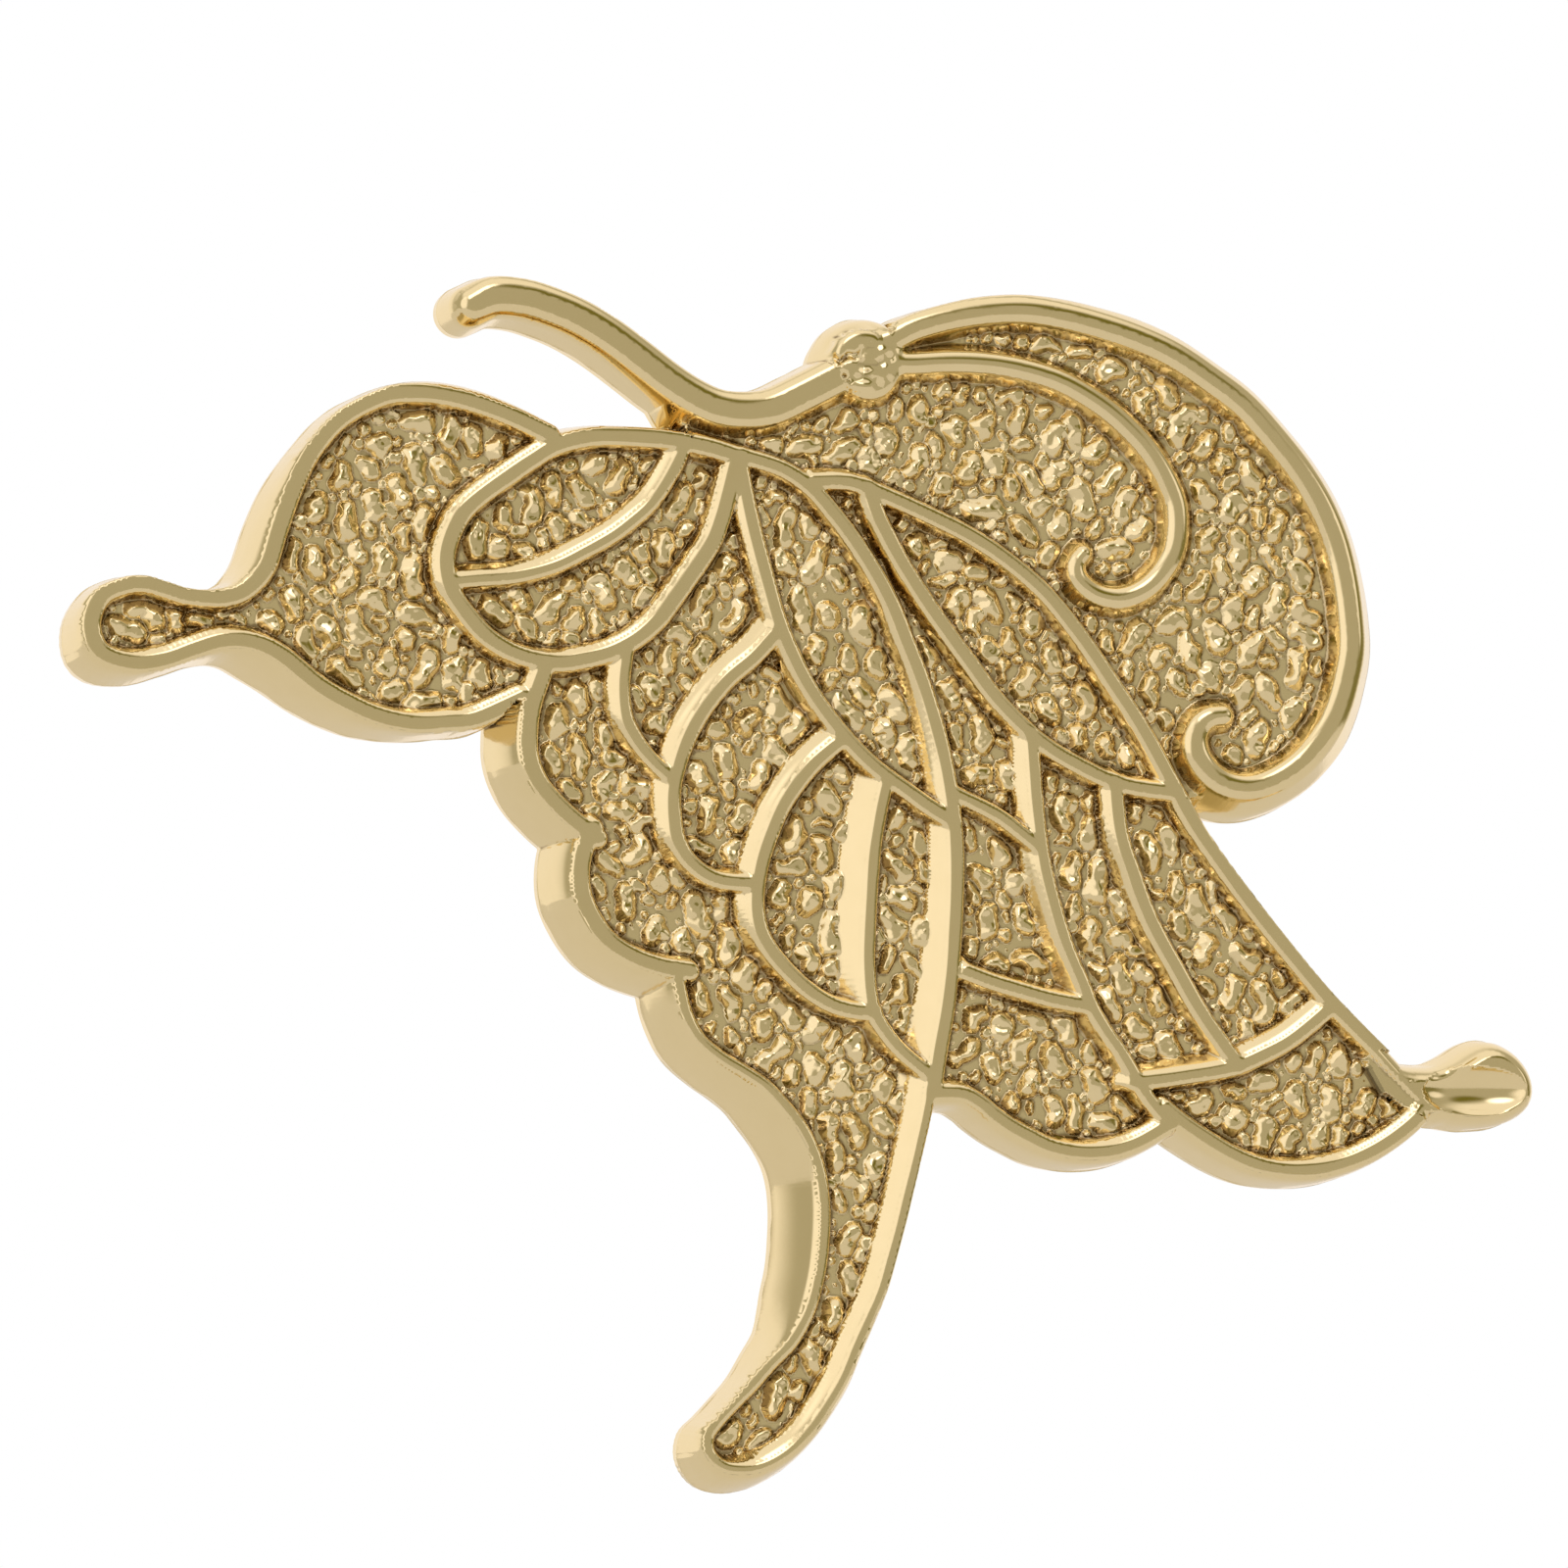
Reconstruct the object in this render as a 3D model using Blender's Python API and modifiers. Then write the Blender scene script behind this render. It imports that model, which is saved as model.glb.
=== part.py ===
"""Butterfly cabinet knob: one solid brass casting, a butterfly in raised lines on a round post.

The post stands on the door at the origin and runs along -Y; the butterfly faces -Y, with +Z up
and +X to the viewer's right. The face is modelled lying down, seen from above, and then stood up.
Plan points are (right, up) in millimetres from the post's axis.
"""
import math
import random

import bmesh
import bpy
from mathutils import Matrix

MM = 0.001
GRAIN = 0.000001

# Heights, measured from the door
PROJECTION = 22.0
PLATE = 5.0
RELIEF = 1.1

# Post and the blind hole for its screw
HOLE_RADIUS = 1.65
HOLE_CHAMFER = 0.45
HOLE_STOP = 5.0
DRILL_ANGLE = math.radians(31.0)
POST_WALL = 3.35
POST_FLARE = 1.6
FOOT_CHAMFER = 0.4
ROUND_STEPS = 40
FLARE_STEPS = 4

# Section of a raised line and of the outer wall
LINE_SLOPE = 0.38
LINE_SHOULDER = 0.14
LINE_ROOT = 0.6
ARCH_HEIGHT = 0.62
ARCH_STEPS = 6
WALL_BULGE = 0.6
LEG_BULGE = 1.0
BACK_ROUND = 0.5
PARTING = 1.4
LEDGE = 0.08
TURN_LIMIT = math.radians(16.0)
SHARP_ANGLE = math.radians(35.0)
FLAT_ANGLE = math.radians(1.0)

# Widths of the raised lines' flat tops
RIM_WIDTH = 0.95
LEAF_WIDTH = 0.85
VEIN_WIDTH = 0.75
LEG_WIDTH = 0.6
STEM_WIDTH = 1.9
FEELER_WIDTH = 1.5
CURL_WIDTH = 1.3

# Share of the full width at the last points of the half-round bars, from the end inwards
FEELER_TAPER = (0.5, 0.75, 0.85, 0.9)
CURL_TAPER = (0.5, 0.65, 0.75, 0.85, 0.95)
STEM_TAPER = (0.55, 0.92)

# Knot where the stem meets the feelers
KNOT_PLACE = (3.25, 17.2)
KNOT_RADII = (1.75, 2.25, 1.0)
KNOT_RISE = 0.5
KNOT_TILT = math.radians(12.0)
KNOT_LUMPS = ((2.7, 18.1), (3.9, 17.9), (2.8, 16.7), (3.8, 16.2))
LUMP_RADIUS = 0.6
LUMP_RISE = 0.45
BALL_STEPS = (16, 10)

# Tail leaf on the right
LEAF_ROUND = 1.0
LEAF_DROP = 0.25
DISH_PLACE = (36.3, -19.85)
DISH_RADII = (2.7, 1.25, 1.0)

# Main pebbles of the cast grounds, as blunt stones half sunk in them
PEBBLE_WIDTH = 1.0
PEBBLE_SPAN = (0.6, 1.3)
PEBBLE_RISE = 0.32
PEBBLE_DRAFT = 0.35
PEBBLE_SIDES = 5
PEBBLE_GAP = 0.4
PEBBLE_TRIES = 4000
PEBBLE_LEAN = (0.9, 2.2)
PEBBLE_SEED = 7

# Outline lines, which also bound the plate
LOBE_RIM = ((-13.2, 13.1), (-15, 13.9), (-17, 14.6), (-19, 15.0), (-20.6, 15.05), (-22, 14.8), (-24, 13.7),
            (-25.5, 12), (-26.5, 10), (-27.2, 8), (-27.85, 6), (-28.9, 4.85), (-30, 4.45), (-31, 4.45),
            (-32, 4.55), (-33, 4.85), (-34, 5.1), (-35, 5.0), (-36.2, 4.4), (-36.75, 3.0), (-36.2, 1.6),
            (-34.6, 1.1), (-33, 1.3), (-31.5, 1.85), (-30, 2.3), (-28.5, 2.25), (-27, 1.6), (-25, 0.05),
            (-23, -1.0), (-21.5, -1.5), (-20, -1.7), (-18.5, -1.6), (-17, -1.4), (-14.6, -0.3))
CLUSTER_TOP = ((-3.2, 12.2), (-5, 12.7), (-7, 13.0), (-9, 13.1), (-11, 13.05), (-12.8, 12.6), (-14, 11.9),
               (-15.3, 11.0), (-17, 9.75), (-18, 8.6), (-18.6, 6.9), (-18.4, 5.3), (-17.6, 4.0),
               (-16.4, 2.7), (-14.8, 1.85), (-12.9, 1.5))
CLUSTER_FOOT = ((-11.4, 1.7), (-10.0, 2.1), (-8.7, 2.8), (-7.6, 3.75), (-6.8, 4.8), (-6.05, 5.85),
                (-5.35, 6.85), (-4.7, 7.9), (-4.3, 8.95), (-4.0, 10), (-3.5, 12))
SCALLOP_1 = ((-13.4, 1.4), (-14.1, -0.6), (-14.3, -2.2), (-14.2, -3.5), (-13.6, -4.8), (-12.5, -6.0),
             (-11.4, -6.9), (-10.7, -7.4))
SCALLOP_2 = ((-10.9, -6.9), (-11.5, -8.3), (-11.55, -10.0), (-11.0, -11.4), (-10.1, -12.6), (-8.8, -13.4),
             (-7.3, -13.9), (-5.9, -14.1))
SCALLOP_3 = ((6.9, -20.2), (8.5, -20.25), (9.5, -20.75), (10.1, -21.25), (11.05, -21.9), (12.1, -22.45),
             (13.1, -22.9), (14.3, -23.15), (15.35, -23.2), (16.4, -23.1), (17.45, -22.8), (18.4, -22.35),
             (19.5, -21.7))
SCALLOP_4 = ((19.3, -20.9), (20.05, -21.5), (20.85, -22.05), (21.9, -22.7), (22.9, -23.25), (24.0, -23.7),
             (25.1, -23.95), (26.4, -24.05), (27.75, -23.95), (29.1, -23.6), (30.4, -23.05), (31.5, -22.4),
             (32.5, -21.65), (33.3, -20.9))
WING_EDGE = ((0.6, 11.05), (2, 11.1), (3, 10.95), (5, 10.2), (7, 9.35), (9, 8.4), (11, 7.15), (13, 5.5),
             (14.7, 3.5), (15.77, 2.05), (16.7, 0.7), (17.6, -0.6), (18.4, -1.85), (19.15, -3.15),
             (19.9, -4.5), (21.2, -6.75), (23.25, -9.5), (25.6, -12.4), (27.95, -15.1), (29.2, -16.35),
             (30.5, -17.6), (31.8, -18.8), (33.2, -20.05), (34.4, -20.95))
LEG_LEFT = ((-6.6, -13.9), (-6.35, -15.2), (-6.0, -16.4), (-5.3, -17.6), (-4.2, -18.5), (-3.0, -19.2),
            (-1.9, -19.9), (-1.0, -20.8), (-0.1, -21.9), (0.6, -23.2), (1.0, -24.6), (1.15, -26.2),
            (1.1, -27.9), (0.9, -29.4), (0.55, -30.8), (0.1, -31.9), (-0.6, -33.0), (-1.6, -34.0),
            (-2.8, -34.9), (-3.9, -35.8), (-4.7, -36.8))
LEG_FOOT = ((-4.95, -37.8), (-4.75, -38.7), (-3.9, -39.3), (-2.4, -39.3), (-0.9, -38.6), (0.3, -37.5))
LEG_RIGHT = ((1.25, -36.2), (2.1, -34.8), (2.75, -33.3), (3.35, -32.0), (4.15, -30.2), (4.7, -28.4),
             (5.25, -26.4), (5.7, -24.6), (6.15, -22.8), (6.5, -21.3), (6.83, -19.6))
FEELER = ((4.6, 18.6), (6, 19.3), (8, 19.85), (10, 20.15), (12, 20.2), (14, 19.95), (16, 19.5), (18, 18.9),
          (20, 18.05), (22, 16.8), (23.85, 15.45), (25.8, 13.35), (26.95, 11.9), (27.95, 10.25),
          (28.7, 8.4), (29.2, 6.25), (29.45, 4.1), (29.45, 2.85), (29.2, 1.55), (28.85, 0.3),
          (28.35, -0.85), (27.65, -1.9), (26.8, -2.85), (25.8, -3.6), (24.75, -4.1))
FEELER_CURL = ((23.7, -4.3), (22.6, -4.1), (21.7, -3.5), (21.1, -2.6), (21.0, -1.75), (21.3, -1.05),
               (21.85, -0.65), (22.5, -0.55))
STEM = ((-18.5, 19.35), (-17.4, 19.95), (-16, 20.15), (-14.5, 20.1), (-13, 19.7), (-11.5, 19.1),
        (-10, 18.25), (-8.5, 17.2), (-7, 16.1), (-5.7, 15.3), (-4.4, 14.75), (-3, 14.6), (-1.5, 14.8),
        (0, 15.5), (1.9, 16.5))
TAIL_LEAF = ((33.3, -19.5), (34.0, -19.0), (35.4, -18.45), (36.7, -18.1), (37.6, -18.5), (38.1, -19.3),
             (38.1, -20.1), (37.4, -20.7), (36.2, -20.9), (35.0, -20.7), (34.2, -20.3))

# Corners that close each outline inside the plate, where the slabs overlap
LOBE_INNER = ((-9, 4), (-9, 10))
CLUSTER_INNER = ((0, 0), (0, 10))
SCALLOP_1_INNER = ((-5, -5), (-5, 4), (-11, 3.5))
SCALLOP_2_INNER = ((2, -12), (2, -3), (-8, -4))
SCALLOP_3_INNER = ((19, -16), (6, -12))
SCALLOP_4_INNER = ((30.5, -18), (25, -14), (17, -14))
LEG_INNER = ((6.6, -12), (-3, -10))
WING_INNER = ((30, -21), (21, -18), (0, -17), (-6, 0), (-4, 9))
WEB = ((17, -2), (6, 4), (-5, 10), (-5.8, 12.6), (-7.2, 15.2), (-5.7, 14.4), (-3, 13.8), (0, 14.6),
       (1.9, 15.7), (3.2, 16.8))

# Lines within the outline
SPINE = ((-3.2, 12.3), (-1, 11.65), (0.5, 10.7), (1.7, 9.4), (2.8, 8.0), (4.0, 6.2), (4.85, 4.6), (5.5, 3),
         (6.15, 1.4), (6.65, 0), (7.25, -2), (7.7, -4), (8.0, -6), (8.12, -8), (8.1, -10), (8.0, -12),
         (7.85, -14), (7.6, -16), (7.2, -18.2), (6.95, -19.9))
LEFT_FEATHER = ((-3.3, 12.0), (-2.95, 10.2), (-2.53, 8.4), (-1.86, 5.95), (-1.18, 3.7), (-0.2, 1.5),
                (0.6, 0.1), (1.56, -1.2), (2.47, -2.25), (3.55, -3.3), (4.45, -4.0), (5.56, -4.75),
                (6.65, -5.5), (8.0, -6.3))
RIGHT_FEATHER = ((3.5, 10.8), (4, 9.4), (4.5, 8.4), (5.15, 7.2), (6, 5.85), (7, 4.4), (8, 3.05), (9, 1.75),
                 (10.1, 0.3), (11.1, -0.75), (12.2, -1.75), (13.4, -2.6), (14.7, -3.3), (16.0, -3.9),
                 (17.35, -4.3), (18.7, -4.5), (19.9, -4.6))
CLUSTER_VEIN = ((-18.4, 5.5), (-17, 5.65), (-15, 5.85), (-13, 6.4), (-11.4, 7.2), (-10, 8.0), (-9, 8.75),
                (-8, 9.65), (-7.2, 10.75), (-6.5, 12.0), (-6.2, 12.8))
PETAL_1 = ((-9.2, 2.3), (-9.4, 0.7), (-9.35, -0.6), (-9.1, -1.6), (-8.45, -2.7), (-7.7, -3.55),
           (-6.9, -4.25))
PETAL_2 = ((-1.3, 3.3), (-2.5, 2.0), (-3.8, 0.9), (-4.8, -0.25), (-5.6, -1.45), (-6.2, -2.7), (-6.6, -3.9),
           (-6.8, -5.05), (-6.75, -6.3), (-6.55, -7.4), (-6.0, -8.4), (-5.1, -9.15), (-4.1, -9.5),
           (-2.6, -9.6))
PETAL_3 = ((2.1, -2.2), (1.5, -2.65), (0.6, -3.45), (-0.35, -4.6), (-1.15, -5.85), (-1.8, -7.4),
           (-2.2, -8.7), (-2.4, -9.95), (-2.38, -11.1), (-2.1, -12.2), (-1.5, -13.2), (-0.65, -14.15),
           (0.45, -15.1), (1.6, -15.75), (2.8, -16.05), (3.8, -16.1))
PETAL_4 = ((4.45, -4.3), (4.04, -6.1), (3.8, -7.5), (3.68, -8.8), (3.58, -10.2), (3.5, -11.8),
           (3.45, -13.4), (3.55, -15.0), (3.8, -16.1), (4.4, -17.1), (5.1, -17.95), (5.9, -18.65),
           (6.9, -19.4))
QUILL_1 = ((12.1, -1.6), (12.25, -3.2), (12.4, -5.2), (12.64, -7.3), (12.95, -9.0), (13.5, -11.0),
           (14.1, -12.8), (14.9, -14.6), (15.4, -15.8), (16.2, -17.1), (17.0, -18.2), (18.03, -19.9),
           (18.7, -20.8), (19.5, -21.7))
QUILL_2 = ((16.6, -4.1), (16.8, -6.2), (17.1, -7.5), (17.55, -8.75), (18.0, -10.0), (18.55, -11.3),
           (19.2, -12.55), (20.0, -13.9), (20.8, -15.3), (21.5, -16.4), (22.3, -17.5), (23.2, -18.7))
FOLD_1 = ((8.1, -4.85), (9.5, -5.5), (10.55, -6.05), (11.45, -6.7), (12.5, -7.5))
FOLD_2 = ((8.7, -14.0), (10.1, -14.5), (11.7, -14.95), (13.25, -15.35), (15.2, -15.7))
BAND = ((17.6, -19.6), (19.3, -19.4), (20.6, -19.2), (21.9, -19.0), (23.2, -18.7), (24.5, -18.15),
        (25.85, -17.45), (27.15, -16.5), (28.6, -15.3))
FEELER_2 = ((4.6, 17.3), (6, 17.3), (8, 17.45), (10, 17.4), (12, 17.1), (14, 16.5), (16, 15.4), (17.5, 14.2),
            (18.7, 12.9), (19.6, 11.4), (20.05, 10.0), (19.95, 8.2), (19.3, 6.9), (18.3, 5.9), (17, 5.4),
            (15.7, 5.6), (14.8, 6.3), (14.6, 7.1), (15.0, 7.7))

LEG = LEG_LEFT + LEG_FOOT + LEG_RIGHT

# Lobes of the plate: name, rim, corners within the plate, width of the rim's line
LOBES = (("plate_lobe", LOBE_RIM, LOBE_INNER, RIM_WIDTH),
         ("plate_cluster", CLUSTER_TOP, CLUSTER_INNER, RIM_WIDTH),
         ("plate_scallop_1", SCALLOP_1, SCALLOP_1_INNER, RIM_WIDTH),
         ("plate_scallop_2", SCALLOP_2, SCALLOP_2_INNER, RIM_WIDTH),
         ("plate_scallop_3", SCALLOP_3, SCALLOP_3_INNER, LEAF_WIDTH),
         ("plate_scallop_4", SCALLOP_4, SCALLOP_4_INNER, LEAF_WIDTH),
         ("plate_leg", LEG, LEG_INNER, LEG_WIDTH),
         ("plate_wing", WING_EDGE, WING_INNER, LEAF_WIDTH),
         ("plate_feelers", FEELER + FEELER_CURL[:3], WEB, FEELER_WIDTH))

# Raised lines: name, points, width of the flat top
LINES = (("rim_lobe", LOBE_RIM, RIM_WIDTH), ("rim_cluster", CLUSTER_TOP + CLUSTER_FOOT, RIM_WIDTH),
         ("rim_spine", SPINE, LEAF_WIDTH), ("rim_wing", WING_EDGE, LEAF_WIDTH), ("rim_leg", LEG, LEG_WIDTH),
         ("rim_scallop_1", SCALLOP_1, RIM_WIDTH), ("rim_scallop_2", SCALLOP_2, RIM_WIDTH),
         ("rim_scallop_3", SCALLOP_3, LEAF_WIDTH), ("rim_scallop_4", SCALLOP_4, LEAF_WIDTH),
         ("feather_left", LEFT_FEATHER, LEAF_WIDTH), ("feather_right", RIGHT_FEATHER, LEAF_WIDTH),
         ("vein", CLUSTER_VEIN, VEIN_WIDTH), ("petal_1", PETAL_1, VEIN_WIDTH),
         ("petal_2", PETAL_2, LEAF_WIDTH), ("petal_3", PETAL_3, LEAF_WIDTH),
         ("petal_4", PETAL_4, VEIN_WIDTH), ("quill_1", QUILL_1, VEIN_WIDTH),
         ("quill_2", QUILL_2, LEAF_WIDTH), ("fold_1", FOLD_1, VEIN_WIDTH), ("fold_2", FOLD_2, LEAF_WIDTH),
         ("band", BAND, LEAF_WIDTH))

# What else the pebbles keep clear of: points, width
BARS = ((FEELER + FEELER_CURL, FEELER_WIDTH), (FEELER_2, CURL_WIDTH), (STEM, STEM_WIDTH),
        (WEB[2:], LEAF_WIDTH), ((KNOT_PLACE, KNOT_PLACE), 2 * KNOT_RADII[1]))

BRASS = ("cast_brass", (0.78, 0.60, 0.30, 1.0), 0.25, 1.0)

GROUND = PROJECTION - RELIEF
PLATE_BACK = PROJECTION - PLATE
POST_RADIUS = HOLE_RADIUS + POST_WALL
HOLE_DEPTH = PLATE_BACK - HOLE_STOP


def clear_scene():
    """Empties the scene that the script starts in."""
    for thing in list(bpy.data.objects):
        bpy.data.objects.remove(thing, do_unlink=True)


def collection(name):
    """A new collection in the scene."""
    group = bpy.data.collections.new(name)
    bpy.context.scene.collection.children.link(group)
    return group


def material(name, colour, roughness, metallic):
    """A plain Principled material."""
    made = bpy.data.materials.new(name)
    made.use_nodes = True
    shader = made.node_tree.nodes["Principled BSDF"]
    shader.inputs["Base Color"].default_value = colour
    shader.inputs["Roughness"].default_value = roughness
    shader.inputs["Metallic"].default_value = metallic
    return made


def line(data, points, cyclic=False):
    """Adds a line of straight steps through plan points in millimetres."""
    spline = data.splines.new("POLY")
    spline.points.add(len(points) - 1)
    for point, place in zip(spline.points, points):
        point.co = (place[0] * MM, place[1] * MM, 0.0, 1.0)
    spline.use_cyclic_u = cyclic
    return spline


def rounded(points, cyclic=False):
    """The same line with one more point, on a smooth curve, in each span that turns."""
    points = list(points)
    if cyclic:
        padded = points[-1:] + points + points[:2]
    else:
        padded = points[:1] + points + points[-1:]
    smooth = []
    for before, here, there, after in zip(padded, padded[1:], padded[2:], padded[3:]):
        smooth.append(here)
        if max(turn(before, here, there), turn(here, there, after)) > TURN_LIMIT:
            smooth.append(tuple((9 * (b + c) - a - d) / 16
                                for a, b, c, d in zip(before, here, there, after)))
    return smooth if cyclic else smooth + [points[-1]]


def turn(before, here, there):
    """Angle by which a line turns at a point."""
    first = math.atan2(here[1] - before[1], here[0] - before[0])
    second = math.atan2(there[1] - here[1], there[0] - here[0])
    if before == here or here == there:
        return 0.0
    return abs((second - first + math.pi) % (2 * math.pi) - math.pi)


def as_mesh(curve, group):
    """Turns a curve object into a closed mesh of the same name, its levels rounded to the grain,
    so that the tops of crossing lines share one plane exactly, and removes the curve."""
    bpy.context.view_layer.update()
    evaluated = curve.evaluated_get(bpy.context.evaluated_depsgraph_get())
    mesh = bpy.data.meshes.new_from_object(evaluated)
    work = bmesh.new()
    work.from_mesh(mesh)
    bmesh.ops.remove_doubles(work, verts=work.verts, dist=5 * GRAIN)
    for corner in work.verts:
        corner.co.z = round(corner.co.z / GRAIN) * GRAIN
    bmesh.ops.recalc_face_normals(work, faces=work.faces)
    work.to_mesh(mesh)
    work.free()
    name = curve.name
    place = curve.matrix_world.copy()
    bpy.data.objects.remove(curve, do_unlink=True)
    made = bpy.data.objects.new(name, mesh)
    made.matrix_world = place
    group.objects.link(made)
    return made


def as_guide(thing):
    """Keeps a cutter or an added piece out of the render."""
    thing.hide_render = True
    thing.display_type = "WIRE"
    return thing


def outset(points, distance):
    """The closed outline moved out by a distance, along the normals at its points."""
    area = sum(a[0] * b[1] - b[0] * a[1] for a, b in zip(points, points[1:] + points[:1]))
    side = 1.0 if area > 0 else -1.0
    moved = []
    for before, point, after in zip(points[-1:] + points[:-1], points, points[1:] + points[:1]):
        along = (after[0] - before[0], after[1] - before[1])
        length = math.hypot(*along)
        moved.append((point[0] + side * along[1] / length * distance,
                      point[1] - side * along[0] / length * distance))
    return moved


def slab(name, rim, inner, width, group, bulge=WALL_BULGE):
    """One lobe of the plate: the rim's line, closed through inner corners, lofted up its wall."""
    points = rounded(rim) + list(inner)
    work = bmesh.new()
    rings = []
    for height, spread in wall_levels(bulge):
        rings.append([work.verts.new((x * MM, y * MM, height * MM))
                      for x, y in outset(points, width / 2 + spread)])
    for lower, upper in zip(rings, rings[1:]):
        for here, there in zip(range(len(points)), list(range(1, len(points))) + [0]):
            work.faces.new((lower[here], lower[there], upper[there], upper[here]))
    work.faces.new(rings[0])
    work.faces.new(rings[-1])
    bmesh.ops.recalc_face_normals(work, faces=work.faces)
    mesh = bpy.data.meshes.new(name)
    work.to_mesh(mesh)
    work.free()
    made = bpy.data.objects.new(name, mesh)
    group.objects.link(made)
    return as_guide(made)


def wall_levels(bulge):
    """Heights and outsets of the wall: rounded back edge, parting line, draft to the ground."""
    at_ground = LINE_SLOPE * RELIEF / (RELIEF + LINE_ROOT) + LEDGE
    return ((PLATE_BACK, at_ground + bulge - BACK_ROUND),
            (PLATE_BACK + BACK_ROUND, at_ground + bulge),
            (PLATE_BACK + PARTING, at_ground + bulge),
            (GROUND, at_ground))


def tail_leaf(name, points, group):
    """The smooth leaf at the right, its edges rounded over its whole thickness."""
    top = PROJECTION - LEAF_DROP
    data = bpy.data.curves.new(name, "CURVE")
    data.dimensions = "2D"
    data.fill_mode = "BOTH"
    data.extrude = ((top - PLATE_BACK) / 2 - LEAF_ROUND) * MM
    data.bevel_depth = LEAF_ROUND * MM
    data.bevel_resolution = 2
    line(data, rounded(points, cyclic=True), cyclic=True)
    curve = bpy.data.objects.new(name, data)
    curve.location.z = (top + PLATE_BACK) / 2 * MM
    group.objects.link(curve)
    return as_guide(as_mesh(curve, group))


def section(name, corners, group):
    """A closed section for a swept line, in millimetres, its origin at the line's top."""
    data = bpy.data.curves.new(name, "CURVE")
    line(data, corners, cyclic=True)
    made = bpy.data.objects.new(name, data)
    group.objects.link(made)
    return made


def flat_section(width):
    """A flat top with small shoulders, drafted sides and a root below the ground."""
    half = width / 2
    right = [(half - LINE_SHOULDER / 2, 0.0), (half + LINE_SHOULDER / 2, -LINE_SHOULDER),
             (half + LINE_SLOPE, -RELIEF - LINE_ROOT)]
    return right + [(-x, y) for x, y in reversed(right)]


def round_section(width, depth):
    """A half-round bar on straight flanks down to a depth below its top."""
    half = width / 2
    arch = [(half * math.cos(angle), half * ARCH_HEIGHT * (math.sin(angle) - 1.0))
            for angle in (math.pi * step / ARCH_STEPS for step in range(ARCH_STEPS + 1))]
    return arch + [(-half - LINE_SLOPE / 2, -depth), (half + LINE_SLOPE / 2, -depth)]


def swept(name, points, corners, group, taper=()):
    """A raised line: a section swept along its points, with its top at the full projection;
    `taper` thins its last points."""
    profile = section(name + "_section", corners, group)
    data = bpy.data.curves.new(name, "CURVE")
    data.dimensions = "3D"
    data.twist_mode = "Z_UP"
    data.bevel_mode = "OBJECT"
    data.bevel_object = profile
    data.use_fill_caps = True
    spline = line(data, rounded(points))
    for point, share in zip(reversed(spline.points), taper):
        point.radius = share
    curve = bpy.data.objects.new(name, data)
    curve.location.z = PROJECTION * MM
    group.objects.link(curve)
    made = as_guide(as_mesh(curve, group))
    bpy.data.objects.remove(profile, do_unlink=True)
    return made


def plate_lobes(group):
    """The plate below the raised lines, one bulged slab for each lobe."""
    for name, rim, inner, width in LOBES:
        slab(name, rim, inner, width, group, LEG_BULGE if rim is LEG else WALL_BULGE)
    tail_leaf("tail_leaf", TAIL_LEAF, group)


def raised_lines(group):
    """The raised lines on the plate, their flat tops all at one level."""
    for name, points, width in LINES:
        swept(name, points, flat_section(width), group)


def apart(place, points):
    """Distance from a plan place to a line of straight steps."""
    nearest = math.inf
    for (ax, ay), (bx, by) in zip(points, points[1:]):
        run_x, run_y = bx - ax, by - ay
        length = run_x * run_x + run_y * run_y
        share = ((place[0] - ax) * run_x + (place[1] - ay) * run_y) / length if length else 0.0
        share = min(max(share, 0.0), 1.0)
        nearest = min(nearest, math.hypot(place[0] - ax - share * run_x, place[1] - ay - share * run_y))
    return nearest


def within(place, outline):
    """Whether a plan place lies inside a closed outline."""
    inside = False
    for (ax, ay), (bx, by) in zip(outline, outline[1:] + outline[:1]):
        if (ay > place[1]) != (by > place[1]):
            inside ^= place[0] < ax + (place[1] - ay) / (by - ay) * (bx - ax)
    return inside


def pebble_places():
    """Ends of the main pebbles, thrown at random on the grounds clear of the lines and each other."""
    chance = random.Random(PEBBLE_SEED)
    outlines = [tuple(rim) + tuple(inner) for _, rim, inner, _ in LOBES]
    kept_clear = [(points, width / 2 + LINE_SLOPE) for _, points, width in LINES]
    kept_clear += [(points, width / 2 + LINE_SLOPE) for points, width in BARS]
    reach = [abs(value) for outline in outlines for place in outline for value in place]
    far = max(reach)
    places = []
    for _ in range(PEBBLE_TRIES):
        x, y = chance.uniform(-far, far), chance.uniform(-far, far)
        lean, half = chance.uniform(*PEBBLE_LEAN), chance.uniform(*PEBBLE_SPAN) / 2
        along = (half * math.cos(lean), half * math.sin(lean))
        ends = ((x - along[0], y - along[1]), (x, y), (x + along[0], y + along[1]))
        if not all(any(within(end, outline) for outline in outlines) for end in ends):
            continue
        if all(apart(end, points) > clear + PEBBLE_WIDTH / 2 for end in ends for points, clear in kept_clear):
            places.append((ends[0], ends[2]))
            kept_clear.append((ends, PEBBLE_WIDTH / 2 + PEBBLE_GAP))
    return places


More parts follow.
